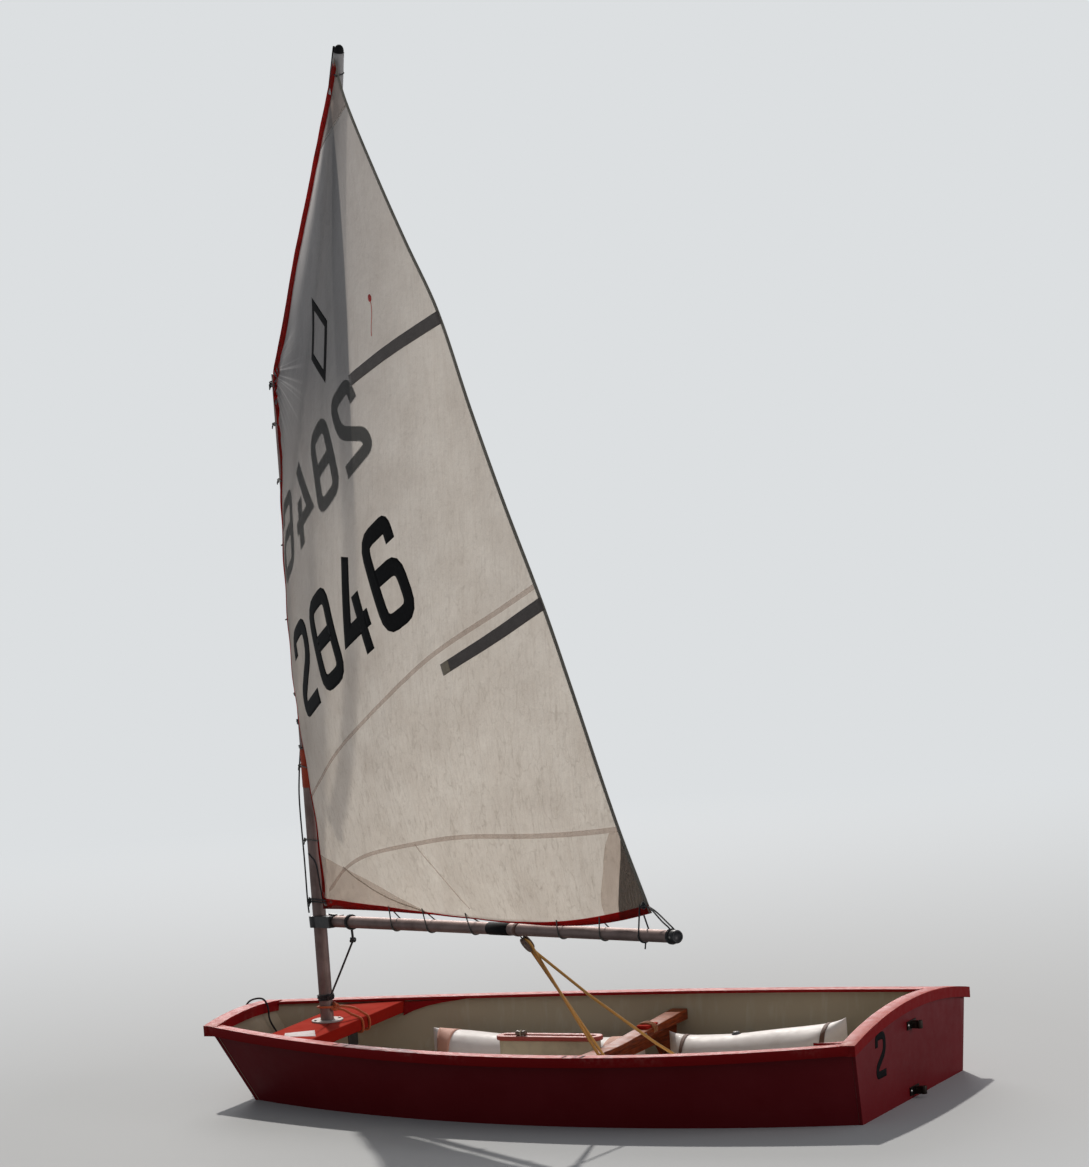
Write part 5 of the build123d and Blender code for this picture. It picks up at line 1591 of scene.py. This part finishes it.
    def boom_lines(self) -> None:
        """The vang with its strop, the tape wound by the mainsheet strop, and the cleat on the jaws."""
        rig = self.rig
        way = rig.boom_way()
        strop = rig.boom(0.195)
        self.band("vang_strop", strop, way, rig.boom_radius, 0.0030, 2.0, DARK_ROPE)
        low = rig.mast(0.437) + rig.along(rig.swing) * 0.030
        hang = strop - UP * 0.050
        self.rope("vang_strop_leg", [strop - UP * (rig.boom_radius + 0.004), hang + way * 0.002, hang - UP * 0.006],
                  0.0040, DARK_ROPE)
        self.keep(overhand("vang_knot_upper", hang - UP * 0.006, UP, 0.009, 0.003, DARK_ROPE), "rope")
        self.rope("vang_line", [hang - UP * 0.010, hang.lerp(low, 0.5) - UP * 0.006, low], 0.0034, DARK_ROPE)
        self.keep(overhand("vang_knot_lower", low, UP, 0.010, 0.0034, DARK_ROPE), "rope")
        self.band("vang_mast_turns", rig.mast(0.433), UP, rig.mast_radius, 0.0032, 2.5, DARK_ROPE)
        fast = rig.mast(0.433) + rig.along(rig.swing) * (rig.mast_radius + 0.003)
        self.rope("vang_link", [low, low.lerp(fast, 0.5) - UP * 0.002, fast], 0.0034, DARK_ROPE)
        r = rig.boom_radius
        tape = [(r + 0.0001, 0.0), (r + 0.0010, 0.001), (r + 0.0011, 0.060), (r + 0.0010, 0.118), (r + 0.0001, 0.119)]
        self.keep(lathe("boom_tape", tape, rig.boom(1.020), way, NUMBER_FILM, 36), "black_plastic")
        plane = standing(rig.boom(0.085, rig.boom_radius + 0.0005), way, UP)
        self.keep(slab("jaw_cleat_base", rounded_box(0.040, 0.014, 0.005), 0.005, plane, NYLON), "black_plastic")

    def tips(self) -> None:
        """The sprit's domed tip, the boom's end plug and the tape round the mast."""
        rig = self.rig
        heel, tip = rig.sprit_ends()
        dome = [(0.0, -0.026), (0.0146, -0.026), (0.0149, -0.024), (0.0149, -0.012), (0.0138, -0.006),
                (0.0105, 0.0006), (0.0060, 0.0046), (0.0, 0.0060)]
        piece = self.keep(lathe("sprit_tip", dome, tip, tip - heel, NUMBER_FILM, 32), "black_plastic")
        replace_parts(piece, "sprit_peak_cap")
        way = rig.boom_way()
        low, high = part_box("boom_end_cap")
        end = (low + high) / 2 + way * 0.006
        plug = [(0.0, -0.021), (0.0190, -0.021), (0.0196, -0.0195), (0.0196, 0.0050), (0.0182, 0.0082),
                (0.0150, 0.0090), (0.0140, 0.0060), (0.0, 0.0055)]
        piece = self.keep(lathe("boom_end_plug", plug, end, way, NYLON, 36), "black_plastic")
        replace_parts(piece, "boom_end_cap")
        r = rig.mast_radius
        tape = [(r + 0.0001, 0.0), (r + 0.0011, 0.0006), (r + 0.0013, 0.040), (r + 0.0010, 0.082),
                (r + 0.0013, 0.121), (r + 0.0001, 0.122)]
        self.keep(lathe("mast_tape", tape, rig.mast(1.100), UP, ORANGE_TAPE, 40), "rope")

    def hanging_block(self) -> None:
        """The mainsheet's upper block: strop, shackle, two long oval cheeks, wheel and pin."""
        rig = self.rig
        middle = Vector(Mainsheet(self.hull, rig).boom_block)
        way = rig.boom_way()
        ring_at = rig.boom(1.180)
        down = (middle - ring_at).normalized()
        axle = down.cross(way).normalized()
        side = axle.cross(down).normalized()
        r = rig.boom_radius
        strop = [(r + 0.0002, -0.010), (r + 0.0018, -0.0095), (r + 0.0024, -0.004), (r + 0.0024, 0.004),
                 (r + 0.0018, 0.0095), (r + 0.0002, 0.010)]
        pieces = [lathe("boom_block_strop", strop, ring_at, way, BAG_STRAP, 40)]
        head = middle - down * 0.0225
        link_points = [head + axle * (0.006 * cos(a)) - down * (0.010 + 0.012 * sin(a)) for a in steps_round(16)]
        pieces.append(tube("boom_block_shackle", link_points, 0.0020, DARK_STEEL, 10, 3, loop=True))
        pieces.append(tube("boom_block_bar", [head - axle * 0.010, head, head + axle * 0.010], 0.0030, DARK_STEEL, 12,
                           2))
        oval = [(0.0170 * cos(a), 0.0310 * sin(a) - 0.0050) for a in steps_round(36)]
        for name, start in (("boom_block_cheek_fore", 0.0055), ("boom_block_cheek_aft", -0.0095)):
            plane = standing(middle + axle * start, side, axle)
            pieces.append(slab(name, oval, 0.0040, plane, TOGGLE_BROWN, 0.0013))
        wheel = [(0.0, -0.0052), (0.0150, -0.0052), (0.0144, -0.0034), (0.0112, 0.0), (0.0144, 0.0034),
                 (0.0150, 0.0052), (0.0, 0.0052)]
        pieces.append(lathe("boom_block_wheel", wheel, middle, axle, NYLON_GREY, 32))
        pin = [(0.0, -0.0108), (0.0034, -0.0106), (0.0040, -0.0096), (0.0040, 0.0096), (0.0034, 0.0106), (0.0, 0.0108)]
        pieces.append(lathe("boom_block_pin", pin, middle, axle, STEEL, 16))
        for piece in pieces:
            self.keep(piece, "black_plastic")
        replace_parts(pieces[3], "boom_block")

    def screws(self) -> None:
        """Rivets that hold the jaws and the boom's end cap."""
        rig = self.rig
        for name, reach, radius in (("jaw_rivet_a", 0.075, 0.0224), ("jaw_rivet_b", 0.095, 0.0224),
                                    ("boom_end_rivet", rig.boom_length - 0.014, 0.0194)):
            out = rig.to_port(rig.swing)
            head = lathe(name, [(0.0, -0.001), (0.0042, -0.001), (0.0040, 0.0006), (0.0028, 0.0015), (0.0, 0.0019)],
                         rig.boom(reach) + out * radius, out, STEEL, 16)
            self.keep(head, "steel")

    def build(self) -> None:
        """Build all lines of the rig."""
        self.lacings()
        self.corner_lines()
        self.sprit_lines()
        self.boom_lines()
        self.tips()
        self.hanging_block()
        self.screws()


@dataclass
class Mainsheet(SubAssembly):
    """The rope between the boom's block and the floor's, and its tail to an eye on the floor."""

    radius: float = 0.0046
    boom_block: tuple[float, float, float] = (-0.230119, 0.596295, 0.714462)
    floor_block: tuple[float, float, float] = (-0.290, 0.0, 0.06724)
    sheave: float = 0.0150
    tail_x: float = -0.770

    def build(self) -> None:
        """Two parts between the blocks and the tail, which run from the hull to the boom."""
        top, low = Vector(self.boom_block), Vector(self.floor_block)
        down = (low - top).normalized()
        rig = self.rig
        way = rig.boom_way()
        axle = down.cross(way).normalized()
        side = axle.cross(down).normalized()
        end = Vector((self.tail_x, 0.0, self.hull.floor(self.tail_x) + 0.020))
        r = self.sheave
        wheel = [top + (side * cos(a) - down * sin(a)) * r for a in (radians(d) for d in range(0, 181, 30))]
        low_axle = Vector((0, 1, 0))
        cross = low_axle.cross(down).normalized()
        foot = [low + (cross * cos(a) + Vector((0, 0, -1)) * sin(a)) * r for a in (radians(d) for d in range(0, 181,
            30))]
        becket = top + down * 0.026 - side * 0.004
        line = [becket, becket.lerp(foot[0], 0.5), *foot, foot[-1].lerp(wheel[0], 0.5), *wheel]
        hang = [wheel[-1].lerp(end, t) - Vector((0, 0, 0.041 * 4 * t * (1 - t))) for t in (0.06, 0.25, 0.5, 0.75)]
        line += [*hang, end]
        dense = []
        for a, b in zip(line, line[1:]):
            cuts = max(1, int((b - a).length / 0.03))
            dense += [a.lerp(b, k / cuts) for k in range(cuts)]
        dense.append(line[-1])
        piece = tube("mainsheet", dense, self.radius, SHEET_ROPE, 10, 2)
        tuple(low)
        tuple(top)
        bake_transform(piece)
        self.made.append(piece)
        eye = [end + Vector((0.0, 0.016 * cos(a), 0.016 * sin(a) - 0.014)) for a in (radians(d) for d in range(-20,
            201, 20))]
        self.keep(tube("sheet_eye", eye, 0.003, STEEL, 10, 3), "steel")
        floor = self.hull.floor(self.tail_x)
        tilt = Vector((-(self.tail_x - self.hull.rocker_low_x) / self.hull.rocker_radius, 0, 1)).normalized()
        plate = standing(Vector((self.tail_x, 0, floor)), Vector((0, 1, 0)), tilt)
        self.keep(slab("sheet_eye_plate", rounded_box(0.056, 0.020, 0.008), 0.003, plate, STEEL), "steel")
        LOG.info("mainsheet bends from hull to rig")


@dataclass
class BuoyancyBags(SubAssembly):
    """Four inflated film bags strapped along the sides."""

    width: float = 0.186
    height: float = 0.214
    lift: float = 0.003
    bags: tuple[tuple[str, float, float, float, float, float], ...] = (
        ("bag_fore", 0.524, -0.150, 0.012, 0.026, 0.238),
        ("bag_aft", -0.238, -0.850, 0.033, 0.045, 0.250),
    )

    def axis_y(self, x: float, gap: float) -> float:
        """Half-breadth to a bag's axis."""
        return self.hull.half(x, self.hull.floor(x) + self.height / 2) - self.hull.side_thickness - self.width / 2 - gap

    def section(self, side: int, x: float, y: float, share: float, seam: float, grow: float = 0.0,
                count: int = 40) -> list[Vector]:
        """The bag's outline at a share of its length."""
        near = min(share, 1 - share)
        full = sin(min(1.0, near / 0.17) * pi / 2)
        width = 0.003 + (self.width - 0.003) * full ** 0.85
        height = seam + (self.height + 0.014 - seam) * full ** 0.6
        base = max(self.hull.floor(x), self.hull.floor(x + 0.06 * full), self.hull.floor(x - 0.06 * full)) + self.lift
        ring = []
        for k in range(count):
            a = 2 * pi * k / count
            power = 0.86
            cx, cz = cos(a), sin(a)
            cx, cz = copysign(abs(cx) ** power, cx), copysign(abs(cz) ** power, cz)
            pinch = 1 - 0.045 * sin(a * 8 + side) * exp(-near / 0.06) * full ** 0.4
            slack = 0.0035 * noise.noise(Vector((x * 7, cx * 1.6 + y * 3, cz * 1.6)))
            ring.append(Vector((x, side * (y + cx * (width / 2 * pinch + grow + slack * full)),
                                base + height / 2 + cz * (height / 2 * (0.5 + 0.5 * pinch) + grow + slack * full))))
        return ring

    def bag(self, name: str, side: int, fore: float, aft: float, fore_gap: float, aft_gap: float, seam: float) -> None:
        """One bag with its end seams, bands and valve."""
        y0, y1 = self.axis_y(fore, fore_gap), self.axis_y(aft, aft_gap)

        def at(share: float) -> tuple[float, float]:
            return aft + share * (fore - aft), y1 + share * (y0 - y1)

        count = 44
        rings = []
        for j in range(count + 1):
            t = j / count
            share = 0.5 - 0.5 * cos(pi * t)
            x, y = at(share)
            rings.append(self.section(side, x, y, share, seam))
        shell = from_rings(f"{name}_shell", rings, BAG_FILM, girth=0.6)
        smooth = shell.modifiers.new("soft", "SUBSURF")
        smooth.levels = smooth.render_levels = 1
        self.keep(shell, "white_film")
        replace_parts(shell, name)
        wide = "fore" in name
        for k, (share, band) in enumerate(((0.928, 0.056), (0.12, 0.055)) if wide else ((0.90, 0.014), (0.10, 0.014))):
            rows = []
            steps = 6
            for j in range(steps + 1):
                s = share + (j / steps - 0.5) * band / (fore - aft)
                x, y = at(s)
                rows.append(self.section(side, x, y, s, seam, 0.0009, 60))
            finish = BAG_BAND if wide else BAG_STRAP
            strap = from_rings(f"{name}_band_{k + 1}", rows, finish, ends=False,
                               lengths=[band * j / steps for j in range(steps + 1)], girth=0.6)
            thicken(strap, 0.0012)
            self.keep(strap, "rope")
        x, y = at(0.62)
        top = self.section(side, x, y, 0.62, seam)[10]
        profile = [(0.0, -0.004), (0.015, -0.004), (0.015, 0.001), (0.011, 0.0025), (0.011, 0.006), (0.008, 0.008),
                   (0.0, 0.0082)]
        self.keep(lathe(f"{name}_valve", profile, top, UP, NYLON_GREY, 24), "white_film")

    def build(self) -> None:
        """Build the four bags."""
        for name, *numbers in self.bags:
            for where, side in (("port", 1), ("starboard", -1)):
                self.bag(f"{name}_{where}", side, *numbers)


@dataclass
class Painter(SubAssembly):
    """The painter: out of the bow eye, over the rim, down inside the bow and coiled under the thwart."""

    diameter: float = 0.006
    coil: tuple[float, float] = (0.812, -0.150)
    coil_radius: float = 0.034
    turns: float = 7.6
    per_turn: int = 16
    route: tuple[tuple[float, float, float], ...] = (
        (1.06484, -0.008, 0.322146), (1.07884, -0.024, 0.334146), (1.103, -0.052, 0.360146), (1.107, -0.080, 0.366387),
        (1.097, -0.098, 0.398387), (1.065, -0.105, 0.407387), (1.043, -0.108, 0.403387), (1.031, -0.109, 0.376387),
        (1.033099, -0.110, 0.336), (1.010382, -0.112, 0.298), (0.985273, -0.113, 0.256), (0.960165, -0.113, 0.214),
        (0.936252, -0.114, 0.174), (0.917121, -0.118, 0.142), (0.874, -0.110, 0.118), (0.842, -0.116, 0.111))

    def coil_frame(self) -> tuple[Vector, Matrix]:
        """The coil's middle, and the turn that lays it along the sloping floor."""
        x, y = self.coil
        tilt = atan2(x - self.hull.rocker_low_x, self.hull.rocker_radius)
        return Vector((x, y, self.hull.floor(x + self.coil_radius) + 0.010)), Matrix.Rotation(-tilt, 3, "Y")

    def coil_points(self) -> list[Vector]:
        """The coil's turns, three side by side and up to three high, on the sloping floor."""
        middle, slope = self.coil_frame()
        pitch = self.diameter * 1.06
        lanes = [(1, -1), (0, -1), (-1, -1), (-1, 0), (0, 0), (1, 0), (1, 1), (0, 1), (-1, 1)]
        points = []
        count = int(self.turns * self.per_turn)
        for k in range(1, count + 1):
            t = k / self.per_turn
            lane = min(int(t), len(lanes) - 1)
            part = t - int(t)
            step = max(0.0, (part - 0.72) / 0.28)
            step = step * step * (3 - 2 * step)
            following = lanes[min(lane + 1, len(lanes) - 1)]
            wide = lanes[lane][0] + (following[0] - lanes[lane][0]) * step
            high = lanes[lane][1] + (following[1] - lanes[lane][1]) * step
            a = pi / 2 + 2 * pi * t
            r = self.coil_radius + wide * pitch
            local = Vector((r * cos(a), r * sin(a), high * pitch))
            points.append(middle + slope @ local)
        return points

    def build(self) -> None:
        """Build the painter as one open curve, with its end knot and the coil's ties."""
        curve = bpy.data.curves.new("painter_rope", "CURVE")
        curve.dimensions = "3D"
        curve.bevel_depth = self.diameter / 2
        curve.bevel_resolution = 3
        curve.use_fill_caps = True
        curve.resolution_u = 8
        points = [Vector(p) for p in self.route] + self.coil_points()
        spline = curve.splines.new("NURBS")
        spline.points.add(len(points) - 1)
        for place, point in zip(spline.points, points):
            place.co = (*point, 1.0)
        spline.order_u = 3
        spline.use_endpoint_u = True
        rope = bpy.data.objects.new("painter_rope", curve)
        bpy.context.scene.collection.objects.link(rope)
        curve.materials.append(PAINTER_ROPE.material())
        self.keep(rope, "rope")
        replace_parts(rope, "painter", "painter_coil")
        end, before = points[-1], points[-2]
        way = (end - before).normalized()
        knot = overhand("painter_end_knot", end + way * 0.004, way, 0.0062, 0.0026, DARK_ROPE)
        self.keep(knot, "rope")
        middle, slope = self.coil_frame()
        for k, turn in enumerate((20, 200)):
            a = radians(turn)
            out = slope @ Vector((cos(a), sin(a), 0))
            up = slope @ UP
            centre = middle + out * self.coil_radius
            ring = [centre + out * (0.0118 * cos(b)) + up * (0.0105 * sin(b)) for b in steps_round(14)]
            tie = tube(f"painter_coil_tie_{k + 1}", ring, 0.0012, GREY_ROPE, 8, 3, loop=True)
            self.keep(tie, "rope")
        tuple(self.route[0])


@dataclass
class HullFittings(SubAssembly):
    """Bolts, plates, lashings and small fittings of the hull."""

    thwart_z: float = 0.356
    plate_gauge: float = 0.004
    film_off: float = 0.0004

    def bolt(self, name: str, centre: Vector, way: Vector, radius: float = 0.0048) -> None:
        """A domed bolt head with a slot's shadow round it."""
        profile = [(0.0, -0.001), (radius * 1.35, -0.001), (radius * 1.35, 0.0006), (radius, 0.0010),
                   (radius * 0.9, 0.0022), (radius * 0.5, 0.0030), (0.0, 0.0032)]
        self.keep(lathe(name, profile, centre, way, STEEL, 20), "steel")

    def stern_fittings(self) -> None:
        """Bolts through the gudgeons' plates and a plain figure on the stern."""
        hull = self.hull
        out = Vector((-1, 0, 0))
        for name in ("gudgeon_upper", "gudgeon_lower"):
            low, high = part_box(name)
            z = (low.z + high.z) / 2
            face = hull.stern_face(z) - self.plate_gauge
            for k, y in enumerate((-0.026, 0.026)):
                self.bolt(f"{name}_bolt_{k + 1}", Vector((face, y, z)), out)

        def lay(x: float, y: float) -> Vector:
            z = 0.250 + y * 0.134
            return Vector((hull.stern_face(z) - self.film_off, 0.292 - x * 0.130, z))

        piece = figures("stern_figure", [FIGURES["2"]], 1.0, 0.17, lay, NUMBER_FILM)
        self.keep(piece, "black_plastic")

    def thwart_fittings(self) -> None:
        """Screws in the mast collar, a lashing from the mast over the thwart's edge and a blank plate beyond it."""
        rig = self.rig
        for k in range(4):
            a = radians(45 + 90 * k)
            self.bolt(f"collar_screw_{k + 1}", Vector((rig.mast_x + 0.040 * cos(a), 0.040 * sin(a),
                self.thwart_z + 0.0055)), UP, 0.0035)
        label = [(0.810, 0.210), (0.732, 0.157), (0.679, 0.253), (0.784, 0.266)]
        plane = standing(Vector((0, 0, self.thwart_z + 0.0001)), Vector((1, 0, 0)), UP)
        self.keep(slab("thwart_label_blank", [(x * 0.985 + 0.012, y) for x, y in label], 0.0004, plane, WHITE_FILM,
                       0.0001), "white_film")
        plane = standing(Vector((0.6842, 0.0, 0.312)), Vector((0, 1, 0)), Vector((-1, 0, 0)))
        self.keep(slab("thwart_plate_blank", rounded_box(0.062, 0.072, 0.006), 0.0045, plane, NYLON, 0.0008),
                  "black_plastic")
        for name, side in (("port", 1), ("starboard", -1)):
            outline = ((0.6705, 0.352), (0.6705, 0.309), (0.640, 0.323), (0.600, 0.335), (0.555, 0.343),
                       (0.510, 0.348), (0.480, 0.352))
            rows = [[Vector((x, side * (self.hull.half(x, z) - self.hull.side_thickness - inset), z)) for x,
                     z in outline] for inset in (0.0, 0.010)]
            gusset = from_rings(f"thwart_gusset_{name}", rows, RAIL_RED)
            round_edges(gusset, 0.0015)
            self.keep(gusset, "rail_red")
        ring = [Vector((rig.mast_x + 0.0265 * cos(a), 0.0265 * sin(a),
                        0.400 + 0.004 * sin(a))) for a in steps_round(16)]
        self.rope("mast_lashing_ring", ring, 0.0040, ORANGE_ROPE, 8, 3, loop=True)
        legs = (
            [(0.742, -0.004, 0.400), (0.722, -0.028, 0.398), (0.700, -0.062, 0.385), (0.680, -0.082, 0.366),
             (0.6675, -0.090, 0.352), (0.6665, -0.092, 0.330), (0.672, -0.092, 0.314), (0.690, -0.090, 0.312)],
            [(0.744, 0.008, 0.397), (0.716, -0.012, 0.390), (0.696, -0.030, 0.372), (0.676, -0.040, 0.3605),
             (0.6672, -0.044, 0.350), (0.6665, -0.046, 0.328), (0.672, -0.048, 0.314), (0.690, -0.050, 0.312)])
        for k, leg in enumerate(legs):
            self.rope(f"mast_lashing_leg_{k + 1}", [Vector(p) for p in leg], 0.0040, ORANGE_ROPE)
        self.keep(overhand("mast_lashing_knot", Vector((0.738, -0.002, 0.402)), Vector((1, 0, 0)), 0.012, 0.0040,
                           ORANGE_ROPE), "rope")

    def trunk_fittings(self) -> None:
        """A small toggle on the trunk's cap, and the cross frame's capping board with its bolt and lashed end."""
        toggle = [(0.0, -0.018), (0.0062, -0.0175), (0.0090, -0.013), (0.0066, -0.004), (0.0066, 0.004),
                  (0.0090, 0.013), (0.0062, 0.0175), (0.0, 0.018)]
        self.keep(lathe("trunk_cap_toggle", toggle, Vector((0.088, 0.0185, 0.3262)), Vector((1, 0, 0)), TOGGLE_BROWN,
                        24), "black_plastic")
        turn = [Vector((0.088, 0.0185 + 0.0082 * cos(a), 0.3262 + 0.0082 * sin(a))) for a in steps_round(12)]
        self.rope("trunk_cap_toggle_line", turn, 0.0018, CREAM_ROPE, 8, 3, loop=True)
        rows = []
        for k in range(41):
            y = -1 + k / 20
            wide = self.hull.half(-0.209, 0.286) - self.hull.side_thickness - 0.0005
            rise = 0.018 * max(0.0, abs(y) - 0.08) / 0.92
            rows.append([Vector((x, y * wide, z)) for x,
                         z in ((-0.236, 0.270), (-0.182, 0.270), (-0.182, 0.286 + rise), (-0.236, 0.286 + rise))])
        board = from_rings("cross_frame_board", rows, MAHOGANY)
        round_edges(board, 0.0025)
        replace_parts(self.keep(board, "brown_wood"), "cross_frame_cap")
        self.bolt("cross_frame_bolt", Vector((-0.236, -0.200, 0.281)), Vector((-1, 0, 0)), 0.0055)
        plane = standing(Vector((-0.209, -0.272, 0.2895)), Vector((0, 1, 0)), Vector((0, -0.04, 1)))
        self.keep(slab("frame_end_fitting", rounded_box(0.088, 0.040, 0.008), 0.013, plane, THWART_RED, 0.002),
                  "rail_red")
        turns = []
        for k in range(49):
            a = 2 * pi * k / 16
            turns.append(Vector((-0.209 + 0.029 * cos(a), -0.256 - 0.010 * k / 16, 0.288 + 0.020 * sin(a))))
        self.rope("frame_end_lashing", turns, 0.0030, BROWN_ROPE, 8, 2)

    def rail_joints(self) -> None:
        """Dark scarf joints across the port rail's top, where its lengths meet."""
        hull = self.hull
        for k, x in enumerate((-0.365, -0.306, 0.488, 0.530)):
            top = hull.sheer(hull.share_at(x))
            ahead = hull.sheer(hull.share_at(x + 0.02))
            along = (ahead - top).normalized()
            out = UP.cross(along) * -1
            plane = standing(top + out * 0.001, out, UP.cross(along).cross(along) * -1)
            self.keep(slab(f"rail_joint_{k + 1}", rounded_box(0.030, (0.009, 0.005, 0.003, 0.003)[k], 0.0008), 0.0010,
                           plane, THWART_DARK, 0.0001), "black_plastic")

    def build(self) -> None:
        """Build the hull's fittings."""
        self.stern_fittings()
        self.thwart_fittings()
        self.trunk_fittings()
        self.rail_joints()


@dataclass
class Studio:
    """The ground at the waterline, the backdrop, the lamps and the camera."""

    hull: HullForm
    ground_radius: float = 60.0
    camera_at: tuple[float, float, float] = (-7.85696, 16.536, 3.57332)
    right: tuple[float, float, float] = (-0.90594609, -0.41724781, -0.0718745)
    up: tuple[float, float, float] = (-0.02265414, -0.121745, 0.99230285)
    forward: tuple[float, float, float] = (0.42278655, -0.90060114, -0.10084201)
    focal_pixels: float = 6000.0
    picture_height: float = 1167.0
    sensor: float = 36.0
    backdrop: str = "#dcdfe1"
    sun_way: tuple[float, float, float] = (-0.40, 0.59, -0.70)

    def waterline(self) -> list[Vector]:
        """A loop inside the thickness of the planking at the waterline, so that the ground stays out of the boat."""
        inset = self.hull.side_thickness / 2
        port = []
        stern, bow = -1.190, 0.934
        for k in range(41):
            x = stern + (bow - stern) * k / 40
            port.append(Vector((x, self.hull.half(min(max(x, -1.184), 0.928), WATERLINE_Z) - inset, WATERLINE_Z)))
        return port + [Vector((p.x, -p.y, p.z)) for p in reversed(port)]

    def ground(self) -> None:
        """The pale ground, with a hole for the hull."""
        work = bmesh.new()
        edges = []
        circle = [Vector((self.ground_radius * cos(a), self.ground_radius * sin(a), WATERLINE_Z))
                  for a in steps_round(96)]
        for loop in (circle, self.waterline()):
            points = [work.verts.new(p) for p in loop]
            edges += [work.edges.new((points[k - 1], points[k])) for k in range(len(points))]
        bmesh.ops.triangle_fill(work, use_beauty=True, use_dissolve=False, edges=edges)
        bmesh.ops.recalc_face_normals(work, faces=work.faces)
        mesh = bpy.data.meshes.new("ground")
        work.to_mesh(mesh)
        work.free()
        piece = link("ground", mesh, PaleGround("studio_ground", backdrop=self.backdrop), smooth=False)

    def world(self) -> None:
        """A soft even sky that lights the boat less than the camera sees it."""
        world = bpy.data.worlds.new("studio")
        bpy.context.scene.world = world
        world.use_nodes = True
        tree = world.node_tree
        tree.nodes.clear()
        path = add_node(tree, "LightPath").node
        light = add_node(tree, "Background", {"Color": linear("#e4e9ee"), "Strength": 0.26})
        shown = add_node(tree, "Background", {"Color": linear(self.backdrop), "Strength": 1.0})
        mixed = add_node(tree, "MixShader", (path.outputs["Is Camera Ray"], light, shown))
        plug_in(tree.nodes.new("ShaderNodeOutputWorld"), (mixed,))

    def lamp(self, name: str, place: Vector, aim: Vector, power: float, size: float, colour: str) -> None:
        """One soft square lamp.

        Args:
            name: The lamp's name.
            place: Where it hangs.
            aim: What it points at.
            power: Its power in watts.
            size: The length of its side.
            colour: Its colour.
        """
        data = bpy.data.lights.new(name, "AREA")
        data.energy = power
        data.shape = "SQUARE"
        data.size = size
        data.color = linear(colour)[:3]
        lamp = bpy.data.objects.new(name, data)
        bpy.context.scene.collection.objects.link(lamp)
        lamp.location = place
        lamp.rotation_euler = (aim - place).to_track_quat("-Z", "Y").to_euler()

    def lamps(self) -> None:
        """The main light comes from behind, high on the starboard side, as in the photograph."""
        middle = Vector((-0.1, 0.1, 1.0))
        self.lamp("back_softbox", Vector((4.4, -8.2, 3.9)), middle, 420.0, 5.0, "#fbf8f8")
        self.lamp("stern_softbox", Vector((-7.5, -0.6, 2.6)), Vector((-0.9, 0.0, 0.4)), 110.0, 3.0, "#fdf2f2")
        data = bpy.data.lights.new("key_lamp", "SUN")
        data.energy = 2.65
        data.angle = radians(1.6)
        data.color = linear("#fffaf2")[:3]
        key = bpy.data.objects.new("key_lamp", data)
        bpy.context.scene.collection.objects.link(key)
        key.location = Vector((3.4, -5.0, 7.0))
        key.rotation_euler = Vector(self.sun_way).to_track_quat("-Z", "Y").to_euler()

    def camera(self) -> None:
        """The camera at the photograph's place and angle."""
        data = bpy.data.cameras.new("camera")
        data.sensor_fit = "VERTICAL"
        data.sensor_height = self.sensor
        data.lens = self.focal_pixels * self.sensor / self.picture_height
        data.clip_end = 500.0
        camera = bpy.data.objects.new("camera", data)
        bpy.context.scene.collection.objects.link(camera)
        right, up, back = Vector(self.right), Vector(self.up), -Vector(self.forward)
        camera.matrix_world = Matrix((
            (right.x, up.x, back.x, self.camera_at[0]), (right.y, up.y, back.y, self.camera_at[1]),
            (right.z, up.z, back.z, self.camera_at[2]), (0, 0, 0, 1)))
        bpy.context.scene.camera = camera

    def build(self) -> None:
        """Set the studio up."""
        self.ground()
        self.world()
        self.lamps()
        self.camera()
        bpy.context.scene.view_settings.view_transform = "Standard"


def main() -> None:
    """Build every sub-assembly in order."""
    logging.basicConfig(level=logging.INFO, format="%(name)s: %(message)s")
    hull, rig = HullForm(), RigForm()
    Studio(hull).build()
    for assembly in (Painter(hull, rig), KeptSolids(hull, rig), BuoyancyBags(hull, rig), HullFittings(hull, rig),
                     RigFittings(hull, rig), Mainsheet(hull, rig), Sail(hull, rig)):
        assembly.build()
        LOG.info("%s: %d pieces", type(assembly).__name__, len(assembly.made))


if __name__ == "__main__":
    main()
